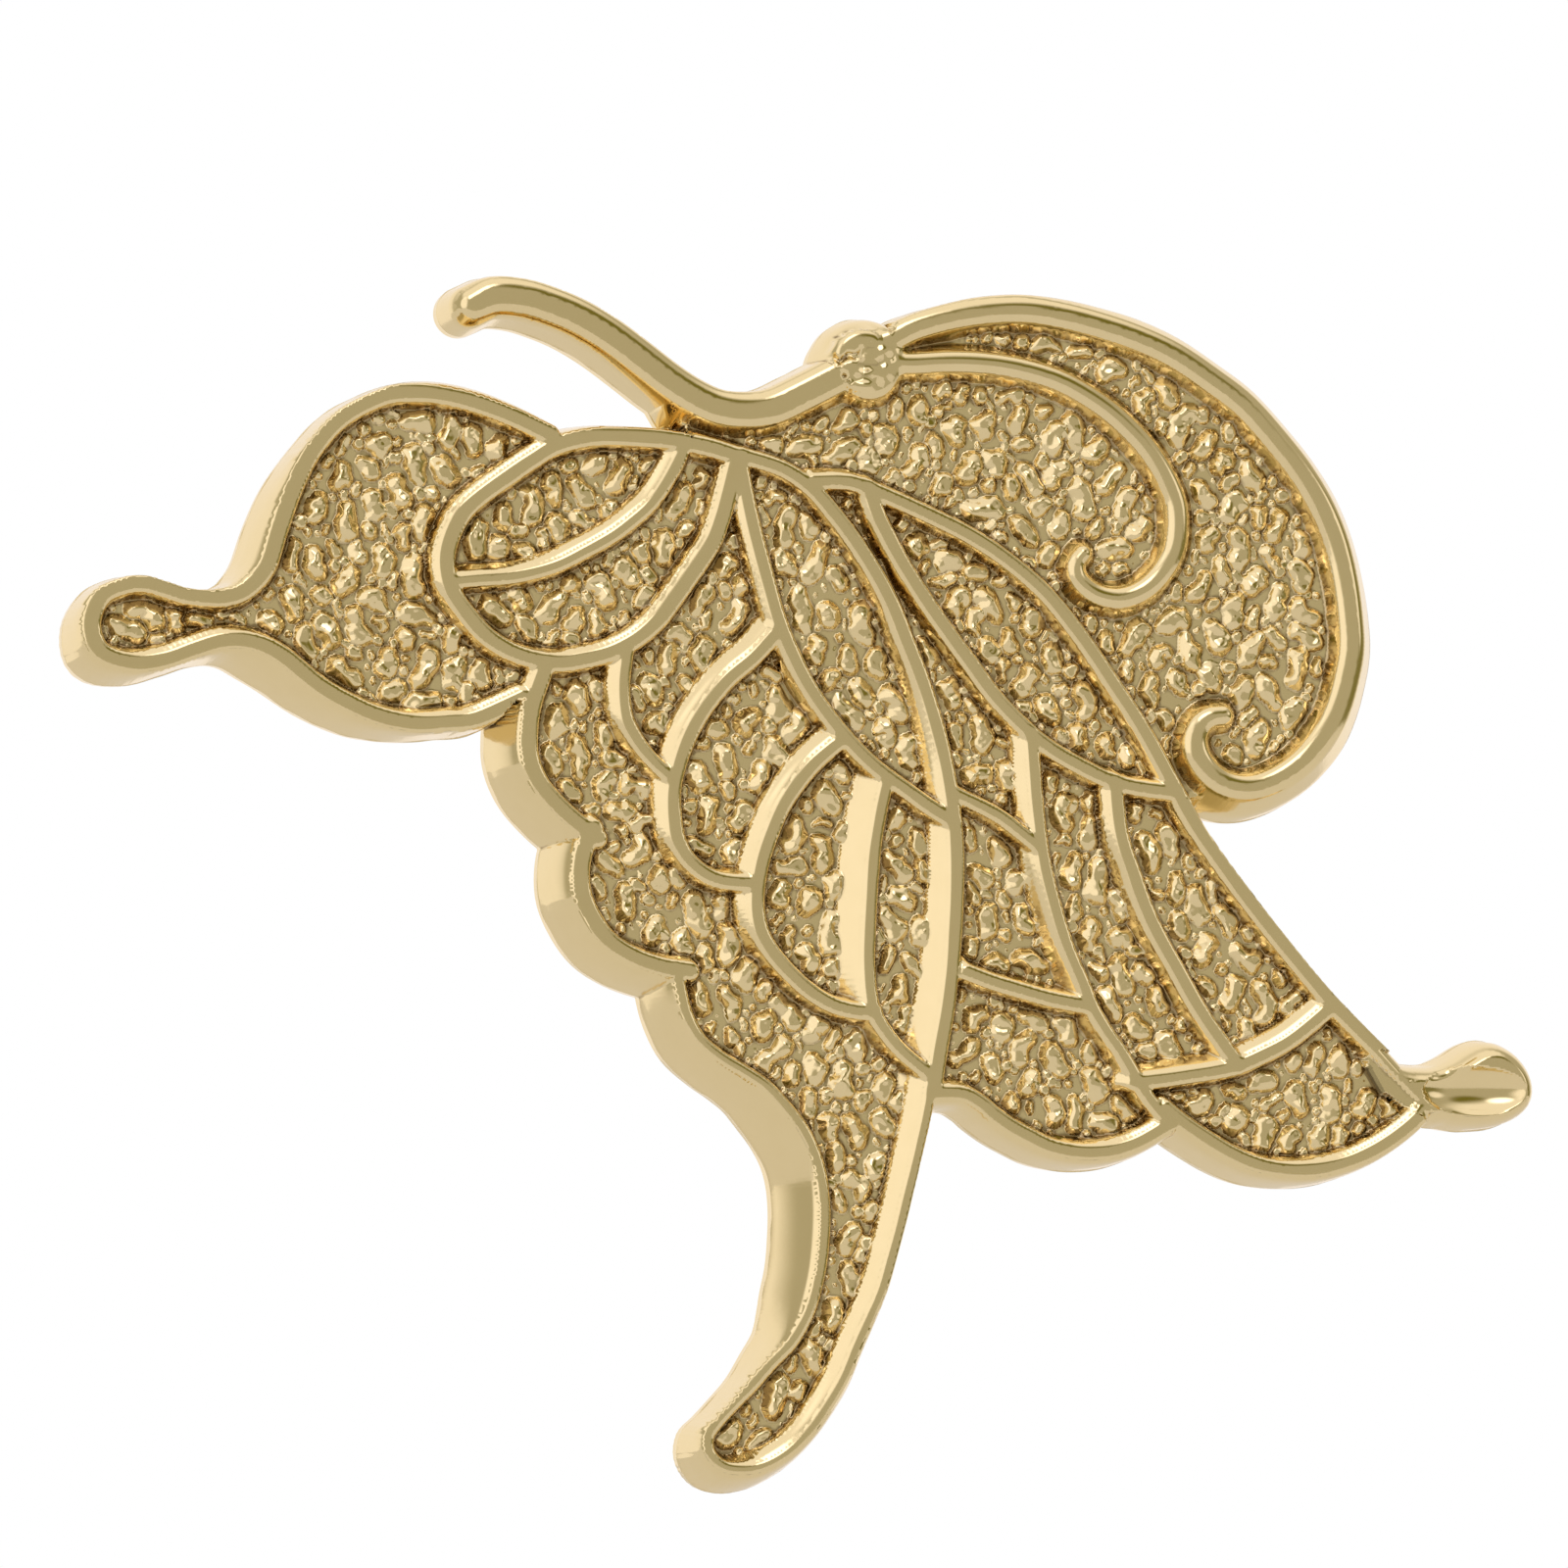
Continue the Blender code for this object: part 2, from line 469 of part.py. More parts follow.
def pebbles(group):
    """The main pebbles: blunt many-sided stones, half sunk in the grounds."""
    work = bmesh.new()
    for start, end in pebble_places():
        length = math.dist(start, end) + PEBBLE_WIDTH
        turn_to = Matrix.Rotation(math.atan2(end[1] - start[1], end[0] - start[0]), 4, "Z")
        middle = ((start[0] + end[0]) / 2 * MM, (start[1] + end[1]) / 2 * MM, GROUND * MM)
        shape = Matrix.Diagonal((length / 2 * MM, PEBBLE_WIDTH / 2 * MM, 2 * PEBBLE_RISE * MM, 1.0))
        bmesh.ops.create_cone(work, cap_ends=True, segments=PEBBLE_SIDES, radius1=1.0 + PEBBLE_DRAFT,
                              radius2=1.0 - PEBBLE_DRAFT, depth=1.0,
                              matrix=Matrix.Translation(middle) @ turn_to @ shape)
    mesh = bpy.data.meshes.new("pebbles")
    work.to_mesh(mesh)
    work.free()
    made = bpy.data.objects.new("pebbles", mesh)
    group.objects.link(made)
    return as_guide(made)


def feelers_and_stem(group):
    """The half-round bars: two curling feelers, the stem, and the knot that joins them."""
    deep = RELIEF + LINE_ROOT
    swept("feeler", FEELER + FEELER_CURL, round_section(FEELER_WIDTH, deep), group, FEELER_TAPER)
    swept("feeler_2", FEELER_2, round_section(CURL_WIDTH, deep), group, CURL_TAPER)
    swept("stem", STEM[::-1], round_section(STEM_WIDTH, PLATE), group, STEM_TAPER)
    knot = ball("knot", KNOT_PLACE, PROJECTION + KNOT_RISE - KNOT_RADII[2], KNOT_RADII, group)
    knot.rotation_euler.z = -KNOT_TILT
    for number, place in enumerate(KNOT_LUMPS, 1):
        ball(f"knot_lump_{number}", place, PROJECTION + LUMP_RISE - LUMP_RADIUS, (LUMP_RADIUS,) * 3,
             group)


def ball(name, place, height, radii, group):
    """An ellipsoid at a plan place and a height."""
    mesh = bpy.data.meshes.new(name)
    work = bmesh.new()
    bmesh.ops.create_uvsphere(work, u_segments=BALL_STEPS[0], v_segments=BALL_STEPS[1], radius=MM)
    bmesh.ops.scale(work, vec=radii, verts=work.verts)
    work.to_mesh(mesh)
    work.free()
    made = bpy.data.objects.new(name, mesh)
    made.location = (place[0] * MM, place[1] * MM, height * MM)
    group.objects.link(made)
    return as_guide(made)


def turned(name, profile, group):
    """A solid of revolution about the post's axis from (radius, height) points, top to bottom."""
    mesh = bpy.data.meshes.new(name)
    work = bmesh.new()
    corners = [work.verts.new((radius * MM, 0.0, height * MM)) for radius, height in profile]
    for upper, lower in zip(corners, corners[1:]):
        work.edges.new((upper, lower))
    work.to_mesh(mesh)
    work.free()
    made = bpy.data.objects.new(name, mesh)
    group.objects.link(made)
    screw = made.modifiers.new("turn", "SCREW")
    screw.steps = ROUND_STEPS
    screw.render_steps = ROUND_STEPS
    screw.use_merge_vertices = True
    screw.merge_threshold = GRAIN
    return made


def post():
    """Profile of the post, from inside the plate down to its chamfered foot."""
    top = PLATE_BACK + (PLATE - RELIEF) / 2
    flare = [(POST_RADIUS + POST_FLARE * (1.0 - math.sin(angle)),
              PLATE_BACK - POST_FLARE * (1.0 - math.cos(angle)))
             for angle in (math.pi / 2 * step / FLARE_STEPS for step in range(FLARE_STEPS + 1))]
    foot = [(POST_RADIUS, FOOT_CHAMFER), (POST_RADIUS - FOOT_CHAMFER, 0.0), (0.0, 0.0)]
    return [(0.0, top), (POST_RADIUS + POST_FLARE, top)] + flare + foot


def screw_hole():
    """Profile of the blind hole, with a drill point above and a chamfer at the foot."""
    point = HOLE_DEPTH + HOLE_RADIUS * math.tan(DRILL_ANGLE)
    mouth = HOLE_RADIUS + HOLE_CHAMFER
    return [(0.0, point), (HOLE_RADIUS, HOLE_DEPTH), (HOLE_RADIUS, HOLE_CHAMFER), (mouth, 0.0),
            (mouth, -FOOT_CHAMFER), (0.0, -FOOT_CHAMFER)]


def add_boolean(target, label, operation, operand):
    """A live Boolean on the target, with an object or a whole collection."""
    modifier = target.modifiers.new(label, "BOOLEAN")
    modifier.operation = operation
    modifier.solver = "EXACT"
    if isinstance(operand, bpy.types.Collection):
        modifier.operand_type = "COLLECTION"
        modifier.collection = operand
        modifier.use_self = True
    else:
        modifier.object = operand


def finish(knob):
    """Applies the modifiers, shades the round faces smooth and adds the brass."""
    bpy.context.view_layer.update()
    evaluated = knob.evaluated_get(bpy.context.evaluated_depsgraph_get())
    knob.data = bpy.data.meshes.new_from_object(evaluated)
    knob.modifiers.clear()
    work = bmesh.new()
    work.from_mesh(knob.data)
    bmesh.ops.remove_doubles(work, verts=work.verts, dist=2 * GRAIN)
    bmesh.ops.dissolve_degenerate(work, edges=work.edges, dist=2 * GRAIN)
    work.to_mesh(knob.data)
    work.free()
    knob.data.shade_smooth()
    knob.data.set_sharp_from_angle(angle=SHARP_ANGLE)
    knob.data.materials.clear()
    knob.data.materials.append(material(*BRASS))


def main():
    clear_scene()
    parts = collection("butterfly_cabinet_knob")
    added = collection("added_to_casting")
    cutters = collection("cut_from_casting")
    plate_lobes(added)
    raised_lines(added)
    feelers_and_stem(added)
    knob = turned("butterfly_knob", post(), parts)
    hole = as_guide(turned("hole", screw_hole(), cutters))
    stones = pebbles(collection("added_to_ground"))
    dish = ball("dish", DISH_PLACE, PROJECTION - LEAF_DROP, DISH_RADII, cutters)
    add_boolean(knob, "butterfly", "UNION", added)
    plain = knob.modifiers.new("flat_faces", "DECIMATE")
    plain.decimate_type = "DISSOLVE"
    plain.angle_limit = FLAT_ANGLE
    add_boolean(knob, "pebbles", "UNION", stones)
    add_boolean(knob, "tail_dish", "DIFFERENCE", dish)
    add_boolean(knob, "screw_hole", "DIFFERENCE", hole)
    bpy.context.view_layer.update()
    stand = Matrix.Rotation(math.radians(90.0), 4, "X")
    for thing in list(parts.objects) + list(added.objects) + list(cutters.objects) + [stones]:
        thing.matrix_world = stand @ thing.matrix_world
    finish(knob)


main()
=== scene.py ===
"""Butterfly cabinet knob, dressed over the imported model.

The face is one relief sheet: raised lines with flat tops, sunk grounds full of cast pebbles, and
drafted walls. A side band, a plain back sheet and a turned post with its tapped hole close it.
Plan points are (right, up) in millimetres from the post's axis; heights are measured from the door.
"""
import math
import random

import bpy
import numpy as np
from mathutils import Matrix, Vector
from mathutils.geometry import delaunay_2d_cdt


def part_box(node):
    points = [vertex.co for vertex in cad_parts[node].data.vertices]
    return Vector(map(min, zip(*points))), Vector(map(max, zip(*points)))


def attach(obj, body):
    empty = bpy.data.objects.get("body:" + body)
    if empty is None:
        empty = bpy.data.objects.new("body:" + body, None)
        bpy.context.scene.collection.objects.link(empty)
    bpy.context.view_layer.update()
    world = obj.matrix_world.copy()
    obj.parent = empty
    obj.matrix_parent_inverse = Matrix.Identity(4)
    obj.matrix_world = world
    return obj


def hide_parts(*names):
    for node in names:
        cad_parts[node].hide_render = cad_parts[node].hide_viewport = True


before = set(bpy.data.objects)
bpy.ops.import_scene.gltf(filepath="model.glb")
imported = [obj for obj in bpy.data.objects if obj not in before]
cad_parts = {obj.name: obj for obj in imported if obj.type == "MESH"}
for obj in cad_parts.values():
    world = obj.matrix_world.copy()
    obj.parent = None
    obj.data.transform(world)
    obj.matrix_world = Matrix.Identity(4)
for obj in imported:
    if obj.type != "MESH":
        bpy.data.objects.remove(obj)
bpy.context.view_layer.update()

NODE = "butterfly_knob"
BODY = "root"
MM = 0.001

# Levels, from the door
TOP = 22.0
LEAF_TOP = 21.75
GROUND = 20.9
WEB_LEVEL = 19.4
PARTING = 18.4
BACK_EDGE = 17.5
BACK = 17.0

# Slight unevenness, each a depth, a size and a seed
LINE_WAVER = (0.02, 1.7, 3)
GROUND_WAVER = (0.03, 1.3, 5)
DRIFT_WAVER = (1.1, 7.0, 41)
FLASH_WAVER = (0.5, 0.8, 31)

# Sections of the raised lines: gentle on the flank that faces the light, steep on the other
LIT = (-0.85, 0.53)
LIT_FROM = -0.25
LIT_SPAN = 1.15
LIT_RUN = (0.42, 0.42)
LIT_SLOPE = 0.85
STEEP_RUN = 0.22
STEEP_SLOPE = 5.0
FOOT_SLOPE = 6.0
FOOT_FILLET = 0.25
SHOULDER = 0.28
OUTER_SHOULDER = 0.4
CROWN = 0.07
CROWN_REACH = 0.12
CAP_DROP = 0.72
JOIN = 0.25
LEAST_OFFSET = 0.05

# Sections of the half-round bars, and how their ends thin out
BAR_ROUND = 0.65
BAR_DROP = 0.55
BAR_SLOPE = 2.3
FEELER_TAPER = (0.8, 0.85, 0.9, 0.95)
STEM_TAPER = (0.9,)

# Wall outside the lines: outset at the parting line and how full its section is
LOW_WALL = (0.47, 1.5)
FEELER_WALL = (0.85, 1.4)
STEM_WALL = (0.3, 1.3)
LEAF_WALL = (1.0, 2.0)
LEAST_WALL = 0.2
FLASH = 0.05
FLASH_LEVEL = 0.6
FLASH_ROWS = ((0.0, 0.0), (0.08, 1.0), (0.2, 0.15), (0.35, 0.0))
BACK_ROUND = 0.5

# Widths of the raised lines' flat tops, the bars and the webs
RIM_WIDTH = 0.95
LEAF_WIDTH = 0.85
VEIN_WIDTH = 0.75
LEG_WIDTH = 0.6
STEM_WIDTH = 1.9
FEELER_WIDTH = 1.5
CURL_WIDTH = 1.3
KNOT_WIDTH = 3.4
WEB_WIDTH = 0.5

# Lines that bound the plate
LOBE_RIM = ((-13.2, 13.1), (-15, 13.9), (-17, 14.6), (-19, 15), (-20.6, 15.05), (-22, 14.8),
    (-24, 13.7), (-25.5, 12), (-26.5, 10), (-27.2, 8), (-27.85, 6), (-28.9, 4.85), (-30, 4.45),
    (-31, 4.45), (-32, 4.55), (-33, 4.85), (-34, 5.1), (-35, 5), (-36.2, 4.4), (-36.75, 3),
    (-36.2, 1.6), (-34.6, 1.1), (-33, 1.3), (-31.5, 1.85), (-30, 2.3), (-28.5, 2.25), (-27, 1.6),
    (-25, 0.05), (-23, -1), (-21.5, -1.5), (-20, -1.7), (-18.5, -1.6), (-17, -1.4), (-14.6, -0.3))
CLUSTER_TOP = ((-3.2, 12.2), (-5, 12.7), (-7, 13), (-9, 13.1), (-11, 13.05), (-12.8, 12.6), (-14, 11.9),
    (-15.3, 11), (-17, 9.75), (-18, 8.6), (-18.6, 6.9), (-18.4, 5.3), (-17.6, 4), (-16.4, 2.7),
    (-14.8, 1.85), (-12.9, 1.5))
CLUSTER_FOOT = ((-11.4, 1.7), (-10, 2.1), (-8.7, 2.8), (-7.6, 3.75), (-6.8, 4.8), (-6.05, 5.85),
    (-5.35, 6.85), (-4.7, 7.9), (-4.3, 8.95), (-4, 10), (-3.5, 12))
SCALLOP_1 = ((-13.4, 1.4), (-14.1, -0.6), (-14.3, -2.2), (-14.2, -3.5), (-13.6, -4.8), (-12.5, -6),
    (-11.4, -6.9), (-10.7, -7.4))
SCALLOP_2 = ((-10.9, -6.9), (-11.5, -8.3), (-11.55, -10), (-11, -11.4), (-10.1, -12.6), (-8.8, -13.4),
    (-7.3, -13.9), (-5.9, -14.1))
SCALLOP_3 = ((6.9, -20.2), (8.5, -20.25), (9.5, -20.75), (10.1, -21.25), (11.05, -21.9), (12.1, -22.45),
    (13.1, -22.9), (14.3, -23.15), (15.35, -23.2), (16.4, -23.1), (17.45, -22.8), (18.4, -22.35),
    (19.5, -21.7))
SCALLOP_4 = ((19.3, -20.9), (20.05, -21.5), (20.85, -22.05), (21.9, -22.7), (22.9, -23.25), (24, -23.7),
    (25.1, -23.95), (26.4, -24.05), (27.75, -23.95), (29.1, -23.6), (30.4, -23.05), (31.5, -22.4),
    (32.5, -21.65), (33.3, -20.9))
WING_EDGE = ((0.6, 11.05), (2, 11.1), (3, 10.95), (5, 10.2), (7, 9.35), (9, 8.4), (11, 7.15), (13, 5.5),
    (14.7, 3.5), (15.77, 2.05), (16.7, 0.7), (17.6, -0.6), (18.4, -1.85), (19.15, -3.15), (19.9, -4.5),
    (21.2, -6.75), (23.25, -9.5), (25.6, -12.4), (27.95, -15.1), (29.2, -16.35), (30.5, -17.6),
    (31.8, -18.8), (33.2, -20.05), (34.4, -20.95))
LEG_LEFT = ((-6.6, -13.9), (-6.35, -15.2), (-6, -16.4), (-5.3, -17.6), (-4.2, -18.5), (-3, -19.2),
    (-1.9, -19.9), (-1, -20.8), (-0.1, -21.9), (0.6, -23.2), (1, -24.6), (1.15, -26.2), (1.1, -27.9),
    (0.9, -29.4), (0.55, -30.8), (0.1, -31.9), (-0.6, -33), (-1.6, -34), (-2.6, -35.1), (-3.6, -36.1),
    (-4.45, -37))
LEG_FOOT = ((-4.95, -37.8), (-4.75, -38.7), (-3.9, -39.3), (-2.4, -39.3), (-0.9, -38.6), (0.3, -37.5))
LEG_RIGHT = ((1.25, -36.2), (2.1, -34.8), (2.75, -33.3), (3.35, -32), (4.15, -30.2), (4.7, -28.4),
    (5.25, -26.4), (5.7, -24.6), (6.15, -22.8), (6.5, -21.3), (6.83, -19.6))
LEG = LEG_LEFT + LEG_FOOT + LEG_RIGHT
FEELER = ((4.6, 18.4), (6, 19.15), (8, 19.75), (10, 20.1), (12, 20.2), (14, 19.95), (16, 19.5),
    (18, 18.9), (20, 18.05), (22, 16.8), (23.85, 15.45), (25.8, 13.35), (26.95, 11.9), (27.95, 10.25),
    (28.7, 8.4), (29.2, 6.25), (29.45, 4.1), (29.45, 2.85), (29.2, 1.55), (28.85, 0.3), (28.35, -0.85),
    (27.65, -1.9), (26.8, -2.85), (25.8, -3.6), (24.75, -4.1))
FEELER_CURL = ((23.7, -4.3), (22.6, -4.1), (21.7, -3.5), (21.1, -2.6), (21, -1.75), (21.3, -1.05),
    (21.85, -0.65), (22.5, -0.55))
STEM = ((-17.15, 19.65), (-16, 20.15), (-14.5, 20.1), (-13, 19.7), (-11.5, 19.1), (-10, 18.25),
    (-8.5, 17.2), (-7, 16.1), (-5.7, 15.3), (-4.4, 14.75), (-3, 14.6), (-1.5, 14.8), (0, 15.5),
    (1.9, 16.5))

# The knot between the feelers: a disc with cast creases, each crease a depth and a width
KNOT = ((3.6, 16.95), (3.8, 17.3))
KNOT_DISC = ((3.25, 17.3), 1.65)
KNOT_RISE = 0.14
KNOT_SINK = 0.2
KNOT_FALL = 30.0
KNOT_CREASES = ( ((1.5, 17.6), (1.95, 17.25), (2.4, 17.6), (2.85, 17.55), (3, 17.25), (3.45, 17),
    (4.05, 17.25), (4.5, 17.55)), ((3, 17.6), (3.3, 17.95), (3.85, 18.1), (4.25, 18.45)), ((1.9, 16.6),
    (2.45, 16.5), (2.85, 16.85), (3, 17.25)), ((2.55, 16.3), (3.2, 16.5), (3.7, 16.4), (4.25, 15.8)))
KNOT_CREASE = (0.3, 0.14)

# The tail leaf: outline, the hollow in it and its start in the wing
TAIL_LEAF = ((31, -18.75), (32.4, -19.35), (34.2, -19.45), (35.5, -19), (37, -18.2), (38, -18.45),
    (38.7, -19.3), (38.7, -20.2), (37.7, -20.75), (36.2, -20.9), (35, -20.75), (33.9, -20.5))
LEAF_INNER = ((33.3, -19.8),)
DISH = ((36.1, -19.9), (2.9, 1.3), 0.75, 0.8)
LEAF_START = ((30.0, -18.1), (0.856, 0.518), 2.0)
LEAF_MERGE = (1.5, 0.5)

# Low webs behind the knot and the curl, and the middle, where the outlines leave a gap
WEB = ((17, -2), (6, 4), (-5, 10), (-5.4, 12.6), (-6.9, 15.3), (-5.7, 15), (-3, 14.5), (0, 15.4),
    (1.9, 16.3), (3.2, 17))
CURL_WEB = ((22.8, -4.4), (21.6, -4.7), (20.4, -4.9))
CURL_WEB_INNER = ((19, -4), (17, -2), (21.7, -3))
MIDDLE = ((-9, -7), (0, -7), (0, 4), (-9, 2))

# Lines within the outline
SPINE = ((-3.2, 12.3), (-1, 11.65), (0.5, 10.7), (1.7, 9.4), (2.8, 8), (4, 6.2), (4.85, 4.6), (5.5, 3),
    (6.15, 1.4), (6.65, 0), (7.25, -2), (7.7, -4), (8, -6), (8.12, -8), (8.1, -10), (8, -12),
    (7.85, -14), (7.6, -16), (7.2, -18.2), (6.95, -19.9))
LEFT_FEATHER = ((-3.3, 12), (-2.95, 10.2), (-2.53, 8.4), (-1.86, 5.95), (-1.18, 3.7), (-0.2, 1.5),
    (0.6, 0.1), (1.56, -1.2), (2.47, -2.25), (3.55, -3.3), (4.45, -4), (5.56, -4.75), (6.65, -5.5),
    (8, -6.3))
RIGHT_FEATHER = ((3.5, 10.8), (4, 9.4), (4.5, 8.4), (5.15, 7.2), (6, 5.85), (7, 4.4), (8, 3.05),
    (9, 1.75), (10.1, 0.3), (11.1, -0.75), (12.2, -1.75), (13.4, -2.6), (14.7, -3.3), (16, -3.9),
    (17.35, -4.3), (18.7, -4.5), (19.9, -4.6))
CLUSTER_VEIN = ((-18.4, 5.5), (-17, 5.65), (-15, 5.85), (-13, 6.4), (-11.4, 7.2), (-10, 8), (-9, 8.75),
    (-8, 9.65), (-7.2, 10.75), (-6.5, 12), (-6.2, 12.8))
PETAL_1 = ((-9.2, 2.3), (-9.4, 0.7), (-9.35, -0.6), (-9.1, -1.6), (-8.45, -2.7), (-7.7, -3.55),
    (-6.9, -4.25))
PETAL_2 = ((-1.3, 3.3), (-2.5, 2), (-3.8, 0.9), (-4.8, -0.25), (-5.6, -1.45), (-6.2, -2.7),
    (-6.6, -3.9), (-6.8, -5.05), (-6.75, -6.3), (-6.55, -7.4), (-6, -8.4), (-5.1, -9.15), (-4.1, -9.5),
    (-2.6, -9.6))
PETAL_3 = ((2.1, -2.2), (1.5, -2.65), (0.6, -3.45), (-0.35, -4.6), (-1.15, -5.85), (-1.8, -7.4),
    (-2.2, -8.7), (-2.4, -9.95), (-2.38, -11.1), (-2.1, -12.2), (-1.5, -13.2), (-0.65, -14.15),
    (0.45, -15.1), (1.6, -15.75), (2.8, -16.05), (3.8, -16.1))
PETAL_4 = ((4.45, -4.3), (4.04, -6.1), (3.8, -7.5), (3.68, -8.8), (3.58, -10.2), (3.5, -11.8),
    (3.45, -13.4), (3.55, -15), (3.8, -16.1), (4.4, -17.1), (5.1, -17.95), (5.9, -18.65), (6.9, -19.4))
QUILL_1 = ((12.1, -1.6), (12.25, -3.2), (12.4, -5.2), (12.64, -7.3), (12.95, -9), (13.5, -11),
    (14.1, -12.8), (14.9, -14.6), (15.4, -15.8), (16.2, -17.1), (17, -18.2), (18.03, -19.9),
    (18.7, -20.8), (19.5, -21.7))
QUILL_2 = ((16.6, -4.1), (16.8, -6.2), (17.1, -7.5), (17.55, -8.75), (18, -10), (18.55, -11.3),
    (19.2, -12.55), (20, -13.9), (20.8, -15.3), (21.5, -16.4), (22.3, -17.5), (23.2, -18.7))
FOLD_1 = ((8.1, -4.85), (9.5, -5.5), (10.55, -6.05), (11.45, -6.7), (12.5, -7.5))
FOLD_2 = ((8.7, -14), (10.1, -14.5), (11.7, -14.95), (13.25, -15.35), (15.2, -15.7))
BAND = ((17.6, -19.6), (19.3, -19.4), (20.6, -19.2), (21.9, -19), (23.2, -18.7), (24.5, -18.15),
    (25.85, -17.45), (27.15, -16.5), (28.6, -15.3))
FEELER_2 = ((4.6, 17.3), (6, 17.3), (8, 17.45), (10, 17.4), (12, 17.1), (14, 16.5), (16, 15.4),
    (17.5, 14.2), (18.7, 12.9), (19.6, 11.4), (20.05, 10), (19.95, 8.2), (19.3, 6.9), (18.3, 5.9),
    (17, 5.4), (15.7, 5.6), (14.8, 6.3), (14.6, 7.1), (15, 7.7))

# Outset of some walls at the parting line, for each point of their lines
LOBE_BULGE = (0.5, 0.6, 0.65, 0.55, 0.3, 0.1, 0.1, 0.15, 0.5, 0.7, 0.75, 0.55, 0.25, 0.1, 0.1, 0.1, 0.1,
    0.1, 0.15, 0.4, 0.7, 0.45, 0.2, 0.25, 0.55, 1, 1.1, 0.85, 0.65, 0.4, 0.25, 0.2, 0.2, 0.2)
LEG_BULGE = (1.05, 1.1, 1.1, 1.15, 1.2, 1.3, 1.45, 1.55, 1.6, 1.6, 1.6, 1.6, 1.6, 1.55, 1.5, 1.3, 0.9,
    0.5, 0.2, 0.1, 0.1, 0.35, 0.7, 0.95, 0.85, 0.75, 0.75, 0.8, 0.8, 0.75, 0.7, 0.6, 0.55, 0.5, 0.45,
    0.4, 0.4, 0.4)
FEELER_BULGE = (0.1, 0.1, 0.15, 0.25, 0.35, 0.5, 0.6, 0.7, 0.7, 0.7, 0.75, 0.8, 0.85, 0.95, 1, 1.1,
    1.15, 1.15, 1.15, 1.15, 1.15, 1.1, 1, 0.9, 0.85, 0.85, 0.85, 0.85)

# Lobes of the plate, then its webs and bars: rim, corners within the plate, width, wall
LOBES = ((LOBE_RIM, ((-9, 4), (-9, 10)), RIM_WIDTH, (LOBE_BULGE, 1.3)),
         (CLUSTER_TOP, ((0, 0), (0, 10)), RIM_WIDTH, (0.4, 1.2)),
         (SCALLOP_1, ((-5, -5), (-5, 4), (-11, 3.5)), RIM_WIDTH, (1.1, 1.3)),
         (SCALLOP_2, ((2, -12), (2, -3), (-8, -4)), RIM_WIDTH, (1.0, 1.3)),
         (SCALLOP_3, ((19, -16), (6, -12)), LEAF_WIDTH, LOW_WALL),
         (SCALLOP_4, ((30.5, -18), (25, -14), (17, -14)), LEAF_WIDTH, LOW_WALL),
         (LEG, ((6.6, -12), (-3, -10)), LEG_WIDTH, (LEG_BULGE, 1.25)),
         (WING_EDGE, ((30, -21), (21, -18), (0, -17), (-6, 0), (-4, 9)), LEAF_WIDTH, (0.32, 1.2)),
         (FEELER + FEELER_CURL[:3], WEB, FEELER_WIDTH, (FEELER_BULGE, FEELER_WALL[1])))
WEBS = ((WEB[2:], (), WEB_WIDTH, STEM_WALL), (STEM, (), STEM_WIDTH, STEM_WALL),
        (CURL_WEB, CURL_WEB_INNER, WEB_WIDTH, STEM_WALL), (KNOT, (), KNOT_WIDTH, FEELER_WALL))

# Raised lines: points, width of the flat top, and for some the lit flank's first and last run
LINES = ((LOBE_RIM, RIM_WIDTH), (CLUSTER_TOP + CLUSTER_FOOT, RIM_WIDTH), (SPINE, LEAF_WIDTH, 0.1, 1.3),
         (WING_EDGE, LEAF_WIDTH), (LEG, LEG_WIDTH, 0.3, 0.9), (SCALLOP_1, RIM_WIDTH),
         (SCALLOP_2, RIM_WIDTH), (SCALLOP_3, LEAF_WIDTH), (SCALLOP_4, LEAF_WIDTH),
         (LEFT_FEATHER, LEAF_WIDTH), (RIGHT_FEATHER, LEAF_WIDTH), (CLUSTER_VEIN, VEIN_WIDTH, 0.6, 0.6),
         (PETAL_1, VEIN_WIDTH, 0.6, 0.5), (PETAL_2, LEAF_WIDTH, 0.85, 0.55),
         (PETAL_3, LEAF_WIDTH, 0.8, 0.6), (PETAL_4, VEIN_WIDTH, 1.2, 1.2), (QUILL_1, VEIN_WIDTH, 0.7, 0.9),
         (QUILL_2, LEAF_WIDTH, 0.5, 0.7), (FOLD_1, VEIN_WIDTH, 0.5, 0.5), (FOLD_2, LEAF_WIDTH, 0.6, 0.6),
         (BAND, LEAF_WIDTH, 0.7, 0.7))

# Post and tapped hole
POST_RADIUS = 5.0
POST_FLARE = 1.6
POST_SINK = (0.3, 0.05)
POST_MIDDLE = 9.0
POST_STEPS = 96
FLARE_STEPS = 13
FOOT_CHAMFER = 0.4
FOOT_ROUND = 0.05
FOOT_RING = 3.35
HOLE_RADIUS = 1.65
HOLE_CHAMFER = 0.45
HOLE_DEPTH = 12.0
HOLE_STEPS = 64
THREAD_PITCH = 0.7
THREAD_DEPTH = 0.35
THREAD_START = 0.1
THREAD_END = 10.5
THREAD_ROWS = 8
THREAD_FORM = (1.25, 0.12)
DRILL_TIP = 0.02
DRILL_POINT = 0.6

# What else the main pebbles keep clear of: points, width
KNOT_CLEAR = ((3.25, 17.2), (3.25, 17.2))
KNOT_CLEAR_WIDTH = 4.5
BARS = ((FEELER + FEELER_CURL, FEELER_WIDTH), (FEELER_2, CURL_WIDTH), (STEM, STEM_WIDTH),
        (WEB[2:], LEAF_WIDTH), (KNOT_CLEAR, KNOT_CLEAR_WIDTH))

